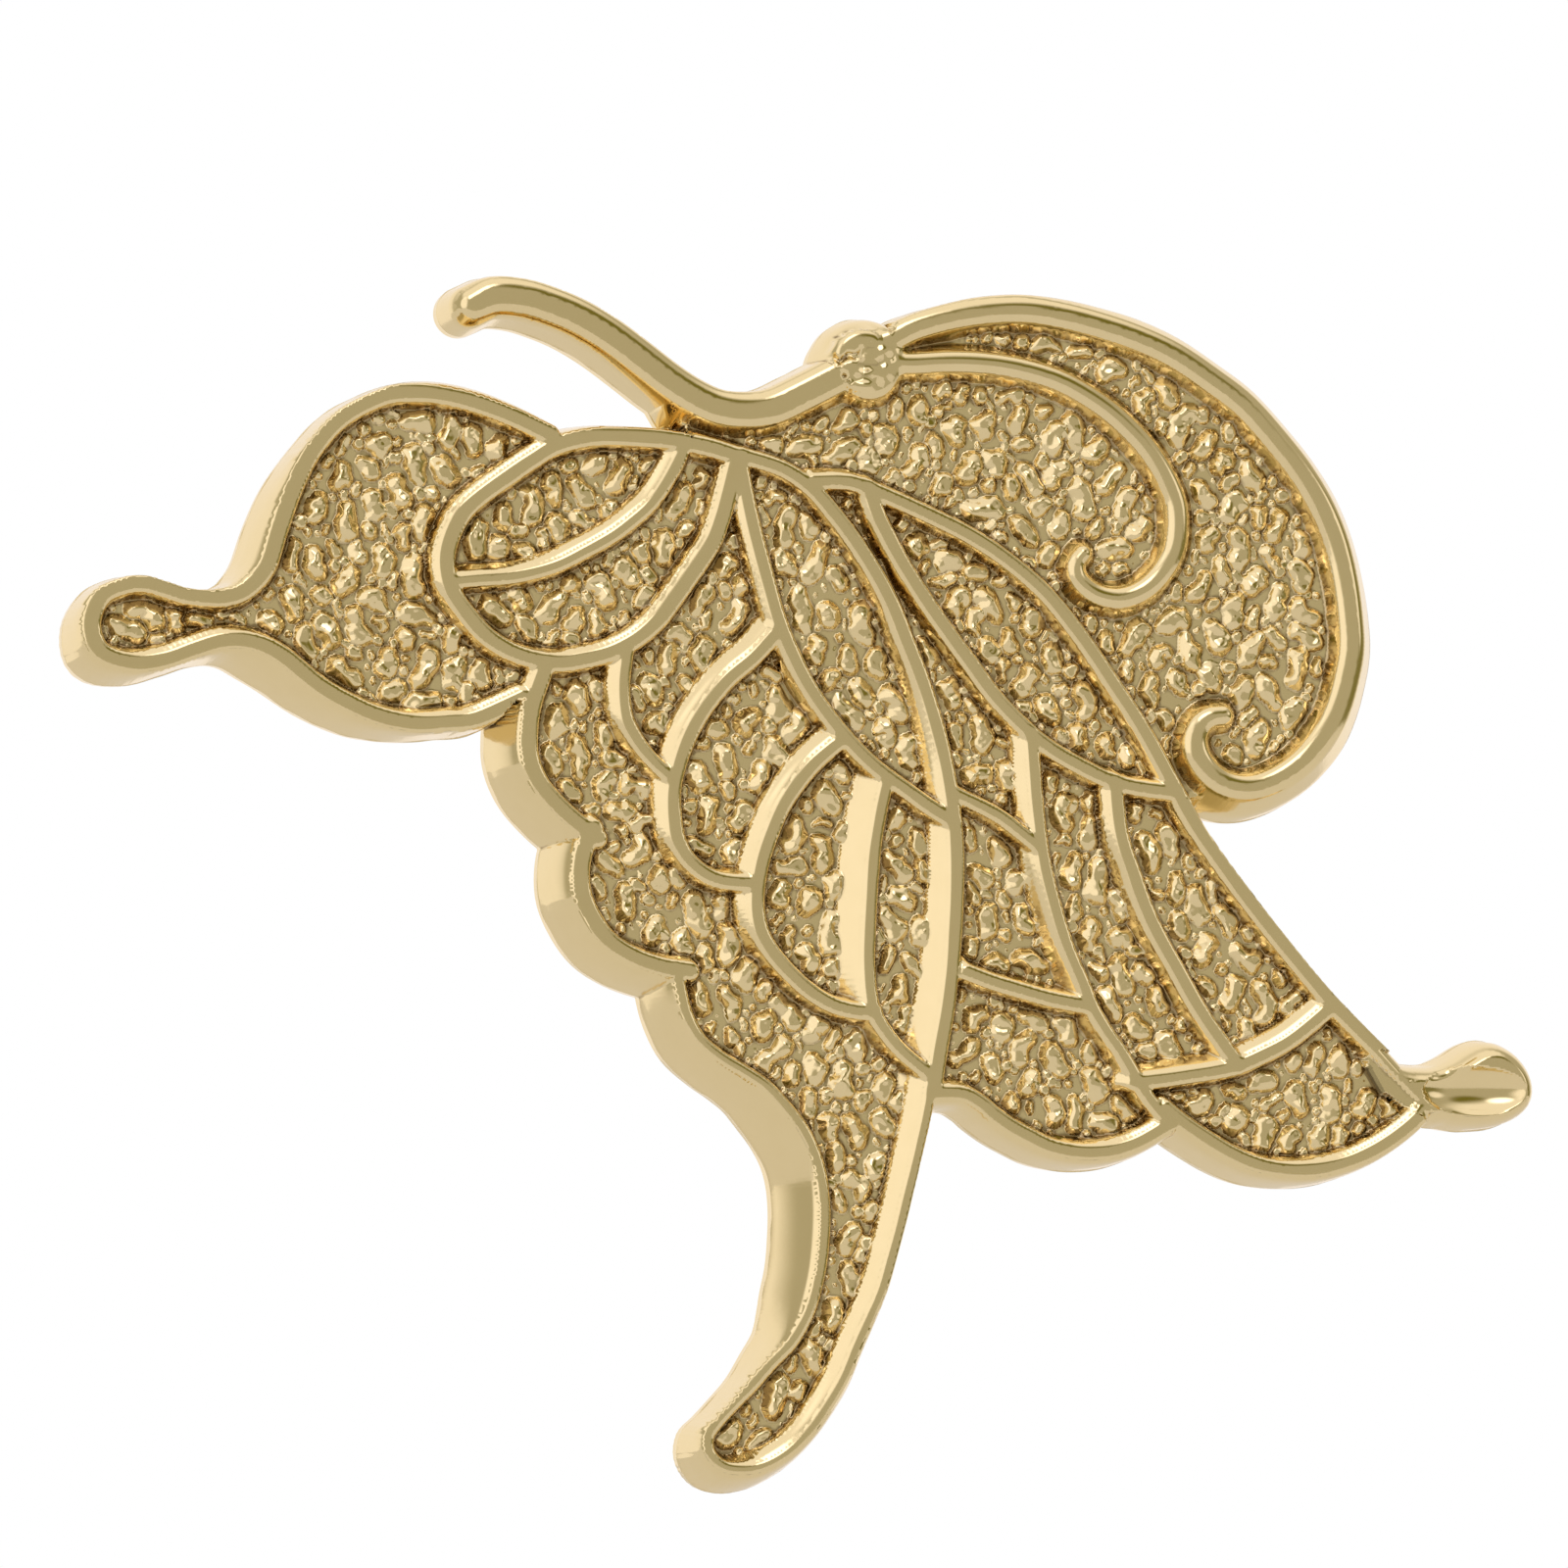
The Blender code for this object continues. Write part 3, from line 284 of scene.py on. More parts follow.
# Main pebbles of the cast grounds, in the same places as the solid's
PEBBLE_WIDTH = 1.0
PEBBLE_SPAN = (0.6, 1.3)
PEBBLE_GAP = 0.4
PEBBLE_FOOT = 0.38
PEBBLE_TRIES = 4000
PEBBLE_LEAN = (0.9, 2.2)
PEBBLE_SEED = 7

# Their rounded forms here: sideways shift of the middle, shares of the radius and the height
SEED = 11
PEBBLE_SHIFT = (0.25, 0.1)
PEBBLE_SWELL = 0.1
PEBBLE_RADII = (0.85, 1.12)
PEBBLE_HEIGHT = 0.42
PEBBLE_HEIGHTS = (0.9, 1.2)
PEBBLE_EDGE = 0.95
PEBBLE_REACH = 2.2
PEBBLE_WOBBLE = ((0.16, 0.65, 21), (0.04, 0.3, 22))
PEBBLE_LUMPS = ((0.33, 0.7, 23), (0.11, 0.3, 24))
WOBBLE_ROOM = 0.3

# Smaller pebbles that fill in between: radius, range of lengths, tries; then their drift and turns
FILLERS = ((0.6, (0.5, 1.5), 6000), (0.48, (0.4, 1.5), 8000), (0.36, (0.2, 1.1), 7000),
           (0.26, (0.0, 0.6), 2500), (0.17, (0.0, 0.4), 2500))
FILLER_GAP = 0.08
FILLER_GAPS = (-2.5, 1.2)
FILLER_RADII = (0.8, 1.15)
FILLER_HEIGHTS = (0.75, 1.1)
FULL_RADIUS = 0.42
DRIFT = 1.6
FILLER_TURN = 0.8
FILLER_BEND = 1.0

# Room between the pebbles and the feet of the lines and bars, the plate's edge and the leaf
LINE_FOOT = 0.12
BAR_FOOT = 0.3
EDGE_ROOM = 0.8
LEAF_ROOM = 0.6

# Painted shade in corners, on steep flanks and about the pebbles' feet, heavier on the side away from the
# light
STEEP_SHADE = 0.014
STEEP_FACING = (0.55, 0.3)
PEBBLE_FOOT_SHADE = 0.016
CREASE_WIDTH = 0.07
CREASE_SHADE = (0.4, 0.6)

# Grid of the plan fields and spacings of the sheets' points
CELL = 0.1
MARGIN = 4.0
REACH = 3.2
LINE_POINTS = 0.115
GROUND_POINTS = 0.11
PLAIN_POINTS = 0.34
FACE_GAP = 0.045
BACK_POINTS = 0.6
BACK_GAP = 0.08
NORMAL_STEP = 0.03
SLIVER = 0.004
MOST_TRIANGLES = 180_000

# Where the points' rows lie: beside the lines, down the walls, at the outer edge and on the back
EDGE_LEVELS = (-0.34, -0.24, -0.16, -0.09, -0.03, 0.03, 0.09, 0.16, 0.24, 0.32, 0.4)
LEVEL_MARGINS = (0.06, 0.05)
WALL_FROM = 0.06
WALL_LEVEL = 0.13
WALL_ROWS = 16
WALL_OUTSET = 0.08
RIM_REACH = 0.12
FLANK_INSET = 0.05
GROUND_INSET = 0.1
PLAIN_INSET = 0.3
BACK_ROWS = (0.6, 0.03)
BACK_LEVELS = (-0.5, -0.33, -0.18, -0.07)
BACK_INSET = 0.7
LEAST_SLOPE = 0.2
MOST_PULL = 0.1

# Brass: two tints, the brown painted shade over them by depth of cavity, steepness and the pebbles' unlit
# feet, and the shine
BRASS_TINTS = ((0.93, 0.76, 0.43, 1.0), (0.89, 0.72, 0.39, 1.0))
MOTTLE_SCALE = 900.0
MOTTLE_DETAIL = 4.0
SHADE_COLOUR = (0.22, 0.135, 0.06, 1.0)
SHADE_DEPTHS = (0.006, 0.028)
MOST_SHADE = 0.75
ROUGHNESS = (0.09, 0.17)
GLINT = (1.0, 0.96, 0.88, 1.0)

# Studio as seen from the knob: level in front, then soft boxes with their direction, the angles
# where they are full and gone, and their strength; a negative one is a dark flag
FRONT = (0.46, 0.44, 0.365)
BOX_TINT = (1.0, 0.98, 1.15)
SOFT_BOXES = (((-0.77, -0.6, 0.2), 22.0, 37.0, 0.62), ((-0.1, -0.2, 0.97), 30.0, 50.0, 0.5),
              ((0.0, 0.3, -0.95), 30.0, 60.0, 0.4), ((0.0, 1.0, 0.0), 42.0, 66.0, 0.5),
              ((0.85, -0.5, 0.25), 6.0, 14.0, 0.7), ((-0.1, -0.75, 0.62), 6.0, 15.0, 1.5),
              ((0.35, -0.72, 0.55), 8.0, 20.0, -0.3), ((0.3, -0.75, -0.6), 10.0, 22.0, -0.35),
              ((0.8, -0.2, 0.0), 15.0, 35.0, -0.25))
DARKEST = 0.02

# Floor, in metres
FLOOR_HALF = 0.6
FLOOR_LEVEL = -0.15
FLOOR_COLOUR = (0.85, 0.85, 0.85, 1.0)
FLOOR_ROUGHNESS = 0.8

# Camera
AIM = (-1.0, -22.0, -4.5)
AZIMUTH = -14.0
ELEVATION = -3.7
DISTANCE = 450.0
LENS = 202.5
SENSOR = 36.0


class Grid:
    """Square cells over the knob's plan, with its fields sampled smoothly between their nodes."""

    def __init__(self, low, high, cell):
        self.low = low
        self.cell = cell
        self.xs = np.arange(low[0], high[0] + cell, cell)
        self.zs = np.arange(low[1], high[1] + cell, cell)
        self.x, self.z = np.meshgrid(self.xs, self.zs)
        self.shape = self.x.shape

    def window(self, points, reach=0.0):
        """Slices of the grid that cover plan points and a reach about them."""
        points = np.asarray(points)[:, :2]
        first = ((points.min(axis=0) - reach - self.low) / self.cell).astype(int)
        last = ((points.max(axis=0) + reach - self.low) / self.cell).astype(int) + 2
        i0, j0 = np.maximum(first, 0)
        i1, j1 = np.minimum(last, self.shape[::-1])
        return slice(j0, j1), slice(i0, i1)

    def sample(self, field, x, z):
        """Catmull-Rom interpolation of a field at plan points."""
        u = (x - self.low[0]) / self.cell
        v = (z - self.low[1]) / self.cell
        i = np.clip(u.astype(int), 1, self.shape[1] - 3)
        j = np.clip(v.astype(int), 1, self.shape[0] - 3)
        return blend(field, i - 1, j - 1, u - i, v - j)

    def slope(self, field, x, z):
        """Gradient of a field at plan points."""
        half = self.cell / 2
        return ((self.sample(field, x + half, z) - self.sample(field, x - half, z)) / self.cell,
                (self.sample(field, x, z + half) - self.sample(field, x, z - half)) / self.cell)


def cubic_weights(t):
    """Catmull-Rom weights of four neighbouring nodes."""
    t2 = t * t
    t3 = t2 * t
    return ((-t3 + 2 * t2 - t) / 2, (3 * t3 - 5 * t2 + 2) / 2, (-3 * t3 + 4 * t2 + t) / 2, (t3 - t2) / 2)


def blend(table, i, j, u, v):
    """Smooth blend of the sixteen values of a table from row j and column i on."""
    wu, wv = cubic_weights(u), cubic_weights(v)
    return sum(wv[row] * sum(wu[column] * table[j + row, i + column] for column in range(4))
               for row in range(4))


def soft_min(a, b, width):
    """The lower of two fields, with a fillet where they meet."""
    near = np.maximum(width - np.abs(a - b), 0.0) / width
    return np.minimum(a, b) - near * near * width / 4


def smooth(rows, steps=5):
    """A smooth curve through rows of coordinates and sizes."""
    rows = np.asarray(rows, dtype=float)
    padded = np.vstack([2 * rows[0] - rows[1], rows, 2 * rows[-1] - rows[-2]])
    out = []
    for a, b, c, d in zip(padded, padded[1:], padded[2:], padded[3:]):
        for step in range(steps):
            w = cubic_weights(step / steps)
            out.append(w[0] * a + w[1] * b + w[2] * c + w[3] * d)
    out.append(rows[-1])
    return np.array(out)


def noise(x, z, size, seed):
    """Smooth value noise between -1 and 1, its lumps about `size` across."""
    count = 256
    table = np.random.RandomState(seed).uniform(-1.0, 1.0, (count, count))
    u = x / size + 1000.0
    v = z / size + 1000.0
    i = np.floor(u).astype(int)
    j = np.floor(v).astype(int)
    return blend(np.pad(table, (0, 3), "wrap"), i % count, j % count, u - i, v - j)


def uneven(x, z, layers, level=0.0):
    """A level made uneven by layers of noise, each a depth, a size and a seed."""
    return sum((depth * noise(x, z, size, seed) for depth, size, seed in layers), level)


def from_step(x, z, a, b):
    """Offsets of plan places from a straight step, and the share of it where each is nearest."""
    run_x, run_z = b[0] - a[0], b[1] - a[1]
    length = max(run_x ** 2 + run_z ** 2, 1e-9)
    dx, dz = x - a[0], z - a[1]
    share = np.clip((dx * run_x + dz * run_z) / length, 0.0, 1.0)
    return dx - share * run_x, dz - share * run_z, share


def beside(grid, path):
    """Distance beyond a path's half width, its other sizes there, and how far a node faces the light.

    A path's rows are x, z, half width and any other sizes. Facing runs from -1 to 1."""
    facing = np.zeros(grid.shape)
    far = np.full(grid.shape, REACH)
    extra = np.zeros((path.shape[1] - 3,) + grid.shape)
    for a, b in zip(path, path[1:]):
        run = b - a
        part = grid.window((a, b), REACH)
        off_x, off_z, share = from_step(grid.x[part], grid.z[part], a, b)
        off = np.hypot(off_x, off_z)
        away = off - (a[2] + share * run[2])
        nearer = away < far[part]
        far[part] = np.where(nearer, away, far[part])
        lit = (off_x * LIT[0] + off_z * LIT[1]) / np.maximum(off, LEAST_OFFSET)
        facing[part] = np.where(nearer, lit, facing[part])
        for layer, start, change in zip(extra, a[3:], run[3:]):
            layer[part] = np.where(nearer, start + share * change, layer[part])
    return far, extra, facing


def beside_window(grid, path, reach):
    """Distance beyond a short path's half width, on the part of the grid about it."""
    part = grid.window(path, reach)
    far = np.full(grid.x[part].shape, reach)
    for a, b in zip(path, path[1:]):
        off_x, off_z, share = from_step(grid.x[part], grid.z[part], a, b)
        far = np.minimum(far, np.hypot(off_x, off_z) - a[2] - share * (b[2] - a[2]))
    return part, far


def within(grid, polygon):
    """Which nodes of the grid lie within a polygon."""
    inside = np.zeros(grid.shape, dtype=bool)
    polygon = np.asarray(polygon)
    part = grid.window(polygon)
    x = grid.x[part]
    z = grid.z[part]
    odd = np.zeros(x.shape, dtype=bool)
    for a, b in zip(polygon, np.roll(polygon, -1, axis=0)):
        if a[1] == b[1]:
            continue
        crosses = (a[1] > z) != (b[1] > z)
        odd ^= crosses & (x < a[0] + (z - a[1]) / (b[1] - a[1]) * (b[0] - a[0]))
    inside[part] = odd
    return inside


def course(points, *sizes):
    """A smooth path through plan points, with sizes that are one number or one for each point."""
    return smooth(np.column_stack([points] + [np.broadcast_to(size, len(points)) for size in sizes]))


def bar_path(points, width, taper=()):
    """The path of a half-round bar, thinned towards its end by `taper`."""
    shares = (1.0,) * (len(points) - len(taper)) + taper[::-1]
    return course(points, width / 2 * np.array(shares))


class Plate:
    """The plan fields: lines, bars, outer edge, wall sizes and the tail leaf.

    `line`, `bar` and `leaf` are distances beyond a form's top, `drop` is the share of the way down
    a line's flank, and `edge` is the distance beyond the plate's outer edge."""

    def __init__(self, grid):
        self.grid = grid
        self.line, self.drop, self.bar, self.edge = np.full((4,) + grid.shape, REACH)
        for points, width, *runs in LINES:
            self.add_line(course(points, width / 2, np.linspace(*(runs or LIT_RUN), len(points))))
        waver = uneven(grid.x, grid.z, (LINE_WAVER,))
        self.line += waver
        self.drop += waver
        for path in (bar_path(FEELER + FEELER_CURL, FEELER_WIDTH, FEELER_TAPER),
                     bar_path(FEELER_2, CURL_WIDTH, FEELER_TAPER),
                     bar_path(STEM[::-1], STEM_WIDTH, STEM_TAPER), bar_path(KNOT, KNOT_WIDTH)):
            self.bar = soft_min(self.bar, beside(grid, path)[0], JOIN)
        self.wall = np.full(grid.shape, LOW_WALL[0])
        self.fullness = np.full(grid.shape, LOW_WALL[1])
        self.outside = np.ones(grid.shape, dtype=bool)
        for rim, inner, width, wall in LOBES + WEBS:
            self.add_region(course(rim, width / 2, *wall), inner)
        middle = within(grid, MIDDLE)
        self.edge = np.where(middle, -REACH, self.edge)
        self.outside &= ~middle
        leaf = course(TAIL_LEAF + TAIL_LEAF[:1], 0.0, *LEAF_WALL)
        self.leaf = beside(grid, leaf)[0]
        self.leaf = np.where(within(grid, leaf[:, :2]), -np.abs(self.leaf), self.leaf)
        self.add_region(leaf, LEAF_INNER)

    def add_line(self, path):
        """Joins one raised line, its lit flank gentler than its steep one."""
        away, (lit_run,), facing = beside(self.grid, path)
        self.line = soft_min(self.line, away, JOIN)
        lit = np.clip((facing - LIT_FROM) / LIT_SPAN, 0.0, 1.0)
        lit = lit * lit * (3.0 - 2.0 * lit)
        run = STEEP_RUN + (np.maximum(lit_run, STEEP_RUN) - STEEP_RUN) * lit
        slope = STEEP_SLOPE + (LIT_SLOPE - STEEP_SLOPE) * lit
        fall = np.maximum(slope * away, TOP - GROUND - FOOT_SLOPE * (run - away)) / (TOP - GROUND)
        self.drop = soft_min(self.drop, np.where(away > 0.0, fall, away), JOIN)

    def add_region(self, path, inner):
        """Joins one lobe of the plate to the outline; `inner` closes its rim within the plate."""
        far, (wall, fullness), _ = beside(self.grid, path)
        edge = far - wall
        if inner:
            inside = within(self.grid, np.vstack([path[:, :2], np.array(inner)]))
            deep = np.where(far >= REACH, REACH, far + 2 * path[:, 2].min() + wall)
            edge = np.where(inside, -deep, edge)
            self.outside &= ~inside
        taken = edge < self.edge
        self.edge = np.where(taken, edge, self.edge)
        self.wall = np.where(taken & (far < REACH), wall, self.wall)
        self.fullness = np.where(taken & (far < REACH), fullness, self.fullness)

    def pebble_room(self):
        """Distance from the feet of the lines and bars and from the plate's edge, for the pebbles."""
        beyond = self.line - LINE_FOOT
        flank = np.minimum((self.drop - 1.0) * STEEP_RUN, beyond)
        room = np.where(self.drop > 1.0, beyond, flank)
        for other in (self.bar - BAR_FOOT, -self.edge - EDGE_ROOM, self.leaf - LEAF_ROOM):
            room = np.minimum(room, other)
        room[self.outside] = -1.0
        return room


def apart(place, points):
    """Distance from a plan place to a line of straight steps."""
    nearest = math.inf
    for (ax, ay), (bx, by) in zip(points, points[1:]):
        run_x, run_y = bx - ax, by - ay
        length = run_x * run_x + run_y * run_y
        share = ((place[0] - ax) * run_x + (place[1] - ay) * run_y) / length if length else 0.0
        share = min(max(share, 0.0), 1.0)
        nearest = min(nearest, math.hypot(place[0] - ax - share * run_x, place[1] - ay - share * run_y))
    return nearest


def inside_outline(place, outline):
    """Whether a plan place lies inside a closed outline."""
    inside = False
    for (ax, ay), (bx, by) in zip(outline, outline[1:] + outline[:1]):
        if (ay > place[1]) != (by > place[1]):
            inside ^= place[0] < ax + (place[1] - ay) / (by - ay) * (bx - ax)
    return inside


def main_pebbles():
    """Ends of the main pebbles, thrown at random on the grounds clear of the lines and each other."""
    chance = random.Random(PEBBLE_SEED)
    outlines = [tuple(rim) + tuple(inner) for rim, inner, _, _ in LOBES]
    kept_clear = [(points, width / 2 + PEBBLE_FOOT) for points, width, *_ in LINES + BARS]
    far = max(abs(value) for outline in outlines for place in outline for value in place)
    clearance = PEBBLE_WIDTH / 2
    places = []
    for _ in range(PEBBLE_TRIES):
        x, y = chance.uniform(-far, far), chance.uniform(-far, far)
        lean, half = chance.uniform(*PEBBLE_LEAN), chance.uniform(*PEBBLE_SPAN) / 2
        along = (half * math.cos(lean), half * math.sin(lean))
        ends = ((x - along[0], y - along[1]), (x, y), (x + along[0], y + along[1]))
        if not all(any(inside_outline(end, outline) for outline in outlines) for end in ends):
            continue
        if all(apart(end, points) > clear + clearance for end in ends for points, clear in kept_clear):
            places.append((ends[0], ends[2]))
            kept_clear.append((ends, PEBBLE_WIDTH / 2 + PEBBLE_GAP))
    return places


def scatter_pebbles(grid, room, rng):
    """Short bent worms that fill the grounds, the main ones first: (path, height)."""
    placed = []

    def lay(points, radii, height):
        path = np.column_stack([points, radii])
        part, far = beside_window(grid, path, PEBBLE_REACH)
        room[part] = np.minimum(room[part], far)
        placed.append((path, height))

    radius = PEBBLE_WIDTH / 2 + PEBBLE_SWELL
    across, up = PEBBLE_SHIFT
    for start, end in main_pebbles():
        middle = ((start[0] + end[0]) / 2 + rng.uniform(-across, across),
                  (start[1] + end[1]) / 2 + rng.uniform(-up, up))
        lay(np.array([start, middle, end]), radius * rng.uniform(*PEBBLE_RADII, 3),
            PEBBLE_HEIGHT * rng.uniform(*PEBBLE_HEIGHTS))
    drift = uneven(grid.x, grid.z, (DRIFT_WAVER,), DRIFT)
    for radius, lengths, tries in FILLERS:
        places = np.argwhere(room > radius)
        for _ in range(tries):
            row, column = places[rng.randint(len(places))]
            if room[row, column] < radius:
                continue
            start = np.array([grid.xs[column], grid.zs[row]])
            length = rng.uniform(*lengths)
            angle = drift[row, column] + rng.uniform(-FILLER_TURN, FILLER_TURN)
            bend = rng.uniform(-FILLER_BEND, FILLER_BEND)
            middle = start + length / 2 * np.array([math.cos(angle), math.sin(angle)])
            end = middle + length / 2 * np.array([math.cos(angle + bend), math.sin(angle + bend)])
            points = np.array([start, (start + middle) / 2, middle, (middle + end) / 2, end])
            i = ((points[:, 0] - grid.low[0]) / grid.cell + 0.5).astype(int)
            j = ((points[:, 1] - grid.low[1]) / grid.cell + 0.5).astype(int)
            if room[j, i].min() < radius + FILLER_GAP * rng.uniform(*FILLER_GAPS):
                continue
            lay(points[::2], radius * rng.uniform(*FILLER_RADII, 3),
                PEBBLE_HEIGHT * rng.uniform(*FILLER_HEIGHTS) * min(1.0, radius / FULL_RADIUS))
    return placed


def pebble_relief(grid, pebbles):
    """Height of the pebbles above the ground and how near a place is to their feet, on a fine grid."""
    relief = np.zeros(grid.shape)
    crease = np.zeros(grid.shape)
    wobble = uneven(grid.x, grid.z, PEBBLE_WOBBLE)
    lumps = uneven(grid.x, grid.z, PEBBLE_LUMPS, 1.0)
    for path, height in pebbles:
        radius = path[0, 2]
        part, far = beside_window(grid, path, radius + WOBBLE_ROOM)
        beyond = far + wobble[part]
        crease[part] = np.maximum(crease[part], np.exp(-(beyond / CREASE_WIDTH) ** 2))
        share = np.clip(-beyond / (PEBBLE_EDGE * radius), 0.0, 1.0)
        dome = (1.0 - (1.0 - share) ** 2.0) * height * lumps[part]
        relief[part] = np.maximum(relief[part], dome)
    return relief, crease


def crowned(away):
    """Height of a line's slightly crowned top."""
    return TOP - CROWN * np.exp(np.minimum(away, 0.0) / CROWN_REACH)


def bar_height(away):
    """Height of a half-round bar on its sloping flanks."""
    share = np.clip((away + BAR_ROUND) / BAR_ROUND, 0.0, 0.97)
    return TOP - BAR_DROP * (1.0 - np.sqrt(1.0 - share * share)) - BAR_SLOPE * np.maximum(away, 0.0)


def face_height(plate, relief_grid, relief, x, z):
    """Height of the face at plan points."""
    line, drop, bar, edge, wall, fullness, outside, leaf = (
        plate.grid.sample(field.astype(float), x, z) for field in (
            plate.line, plate.drop, plate.bar, plate.edge, plate.wall, plate.fullness, plate.outside,
            plate.leaf))
    edge = np.minimum(edge, 0.0)
    wall = np.maximum(wall, LEAST_WALL)
    ground = uneven(x, z, (GROUND_WAVER,), GROUND) + relief_grid.sample(relief, x, z)
    raised = soft_min(crowned(line), TOP - (TOP - GROUND) * drop, SHOULDER)
    raised = np.maximum(raised, bar_height(bar))
    inner = -soft_min(-ground, -raised, FOOT_FILLET)
    past = np.maximum(line, 0.0) / wall
    cap = np.maximum(crowned(line) - CAP_DROP * (TOP - PARTING) * past * past, bar_height(bar))
    cap = np.maximum(cap, WEB_LEVEL)
    share = np.clip(-edge / wall, 0.0, 1.0)
    side = PARTING + (TOP - PARTING) * (1.0 - (1.0 - share) ** fullness) ** (1.0 / fullness)
    side = np.where(share >= 1.0, np.inf, side)
    outer = soft_min(cap, side, OUTER_SHOULDER)
    height = np.where(outside > 0.5, outer, inner)
    height = np.maximum(height, knot_height(x, z))
    return leaf_height(height, leaf, edge, x, z)


def knot_height(x, z):
    """The knot's flat disc, broken by cast creases."""
    (centre_x, centre_z), radius = KNOT_DISC
    away = np.hypot(x - centre_x, z - centre_z) / radius
    disc = TOP - KNOT_SINK + (KNOT_RISE + KNOT_SINK) * np.sqrt(np.maximum(1.0 - away ** 8, 0.0))
    crease = np.full(x.shape, REACH)
    for path in KNOT_CREASES:
        for a, b in zip(path, path[1:]):
            off_x, off_z, _ = from_step(x, z, a, b)
            crease = np.minimum(crease, np.hypot(off_x, off_z))
    depth, width = KNOT_CREASE
    return disc - depth * np.exp(-(crease / width) ** 2) - KNOT_FALL * np.maximum(away - 1.0, 0.0)


def leaf_height(height, leaf, edge, x, z):
    """The smooth tail leaf, hollowed along its middle and merged with the wing at its start."""
    (cx, cz), (rx, rz), depth, fullness = DISH
    away = ((x - cx) / rx) ** 2 + ((z - cz) / rz) ** 2
    hollow = depth * np.clip(1.0 - away, 0.0, 1.0) ** fullness
    share = np.clip(-edge / LEAF_WALL[0], 0.0, 1.0)
    side = PARTING + (LEAF_TOP - PARTING) * np.sqrt(1.0 - (1.0 - share) ** 2)
    (start_x, start_z), (along_x, along_z), length = LEAF_START
    along = ((x - start_x) * along_x + (z - start_z) * along_z) / length
    level = TOP - (TOP - LEAF_TOP) * np.clip(along, 0.0, 1.0)
    on_leaf = np.where(leaf < LEAF_WALL[0], np.minimum(level, side) - hollow, 0.0)
    near = (leaf < LEAF_WALL[0]) & (along > 0.0)
    merged = np.clip(LEAF_MERGE[0] * along - LEAF_MERGE[1], 0.0, 1.0)
    over = np.maximum(height, on_leaf)
    return np.where(near, over + (on_leaf - over) * merged, height)


def hexes(grid, spacing):
    """Points of a triangular lattice over the grid."""
    width = grid.xs[-1] - grid.xs[0]
    depth = grid.zs[-1] - grid.zs[0]
    rows = int(depth / (spacing * math.sqrt(3) / 2))
    columns = int(width / spacing)
    i, j = np.meshgrid(np.arange(columns), np.arange(rows))
    x = grid.xs[0] + (i + 0.5 * (j % 2)) * spacing
    z = grid.zs[0] + j * spacing * math.sqrt(3) / 2
    return x.ravel(), z.ravel()


def snap(grid, field, x, z, levels):
    """Moves points along a field's slope onto the nearest of its levels."""
    levels = np.asarray(levels)
    value = grid.sample(field, x, z)
    goal = levels[np.abs(value[:, None] - levels[None, :]).argmin(axis=1)]
    for _ in range(3):
        gx, gz = grid.slope(field, x, z)
        size = np.maximum(gx * gx + gz * gz, LEAST_SLOPE)
        pull = (grid.sample(field, x, z) - goal) / size
        pull = np.clip(pull, -MOST_PULL, MOST_PULL)
        x = x - pull * gx
        z = z - pull * gz
    return x, z


def thinned(x, z, spacing):
    """Drops points that share a small cell with another."""
    keys = np.floor(x / spacing).astype(np.int64) * 100003 + np.floor(z / spacing).astype(np.int64)
    _, first = np.unique(keys, return_index=True)
    return x[first], z[first]


def face_points(plate):
    """Plan points of the face: rows along the lines' edges and the walls, a lattice elsewhere."""
    grid = plate.grid
    lined = np.minimum(plate.line, plate.bar)

    def lattice(spacing):
        x, z = hexes(grid, spacing)
        outside = grid.sample(plate.outside.astype(float), x, z) > 0.5
        return x, z, grid.sample(plate.edge, x, z), grid.sample(lined, x, z), outside

    low, high = EDGE_LEVELS[0] - LEVEL_MARGINS[0], EDGE_LEVELS[-1] + LEVEL_MARGINS[1]
    x, z, edge, line, outside = lattice(LINE_POINTS)
    on_wall = outside & (line > WALL_FROM)
    flank = (edge < -FLANK_INSET) & (line > low) & (line < high) & ~on_wall
    wall = on_wall & (edge < WALL_OUTSET)
    rim = (np.abs(edge) < RIM_REACH) & ~wall
    sets = [snap(grid, lined, x[flank], z[flank], EDGE_LEVELS),
            snap(grid, plate.edge, x[wall], z[wall], -WALL_LEVEL * np.arange(WALL_ROWS)),
            snap(grid, plate.edge, x[rim], z[rim], (0.0,))]
    x, z, edge, line, outside = lattice(GROUND_POINTS)
    ground = (edge < -GROUND_INSET) & (line >= high) & ~outside
    sets.append((x[ground], z[ground]))
    x, z, edge, line, outside = lattice(PLAIN_POINTS)
    plain = (edge < -PLAIN_INSET) & (line <= low)
    sets.append((x[plain], z[plain]))
    return thinned(*np.concatenate(sets, axis=1), FACE_GAP)


def triangles(plate, x, z, constraints=()):
    """Triangles between plan points, without those beyond the outer edge."""
    points = [Vector(pair) for pair in zip(x.tolist(), z.tolist())]
    made = delaunay_2d_cdt(points, constraints, [], 0, 1e-6)
    x = np.array([point[0] for point in made[0]])
    z = np.array([point[1] for point in made[0]])
    faces = np.array(made[2])
    edge = plate.grid.sample(plate.edge, x[faces].mean(axis=1), z[faces].mean(axis=1))
    faces = faces[edge < -SLIVER]
    used, faces = np.unique(faces, return_inverse=True)
    return x[used], z[used], faces.reshape(-1, 3)


def wound(points, faces, way):
    """Triangles wound so that they face +Y or -Y."""
    a, b, c = (points[faces[:, k]] for k in range(3))
    return faces if np.cross(b - a, c - a)[:, 1].sum() * way > 0 else faces[:, ::-1]


def edge_ends(faces):
    """The ends of each triangle's three edges, in the triangle's direction."""
    return np.concatenate([faces[:, [0, 1]], faces[:, [1, 2]], faces[:, [2, 0]]])


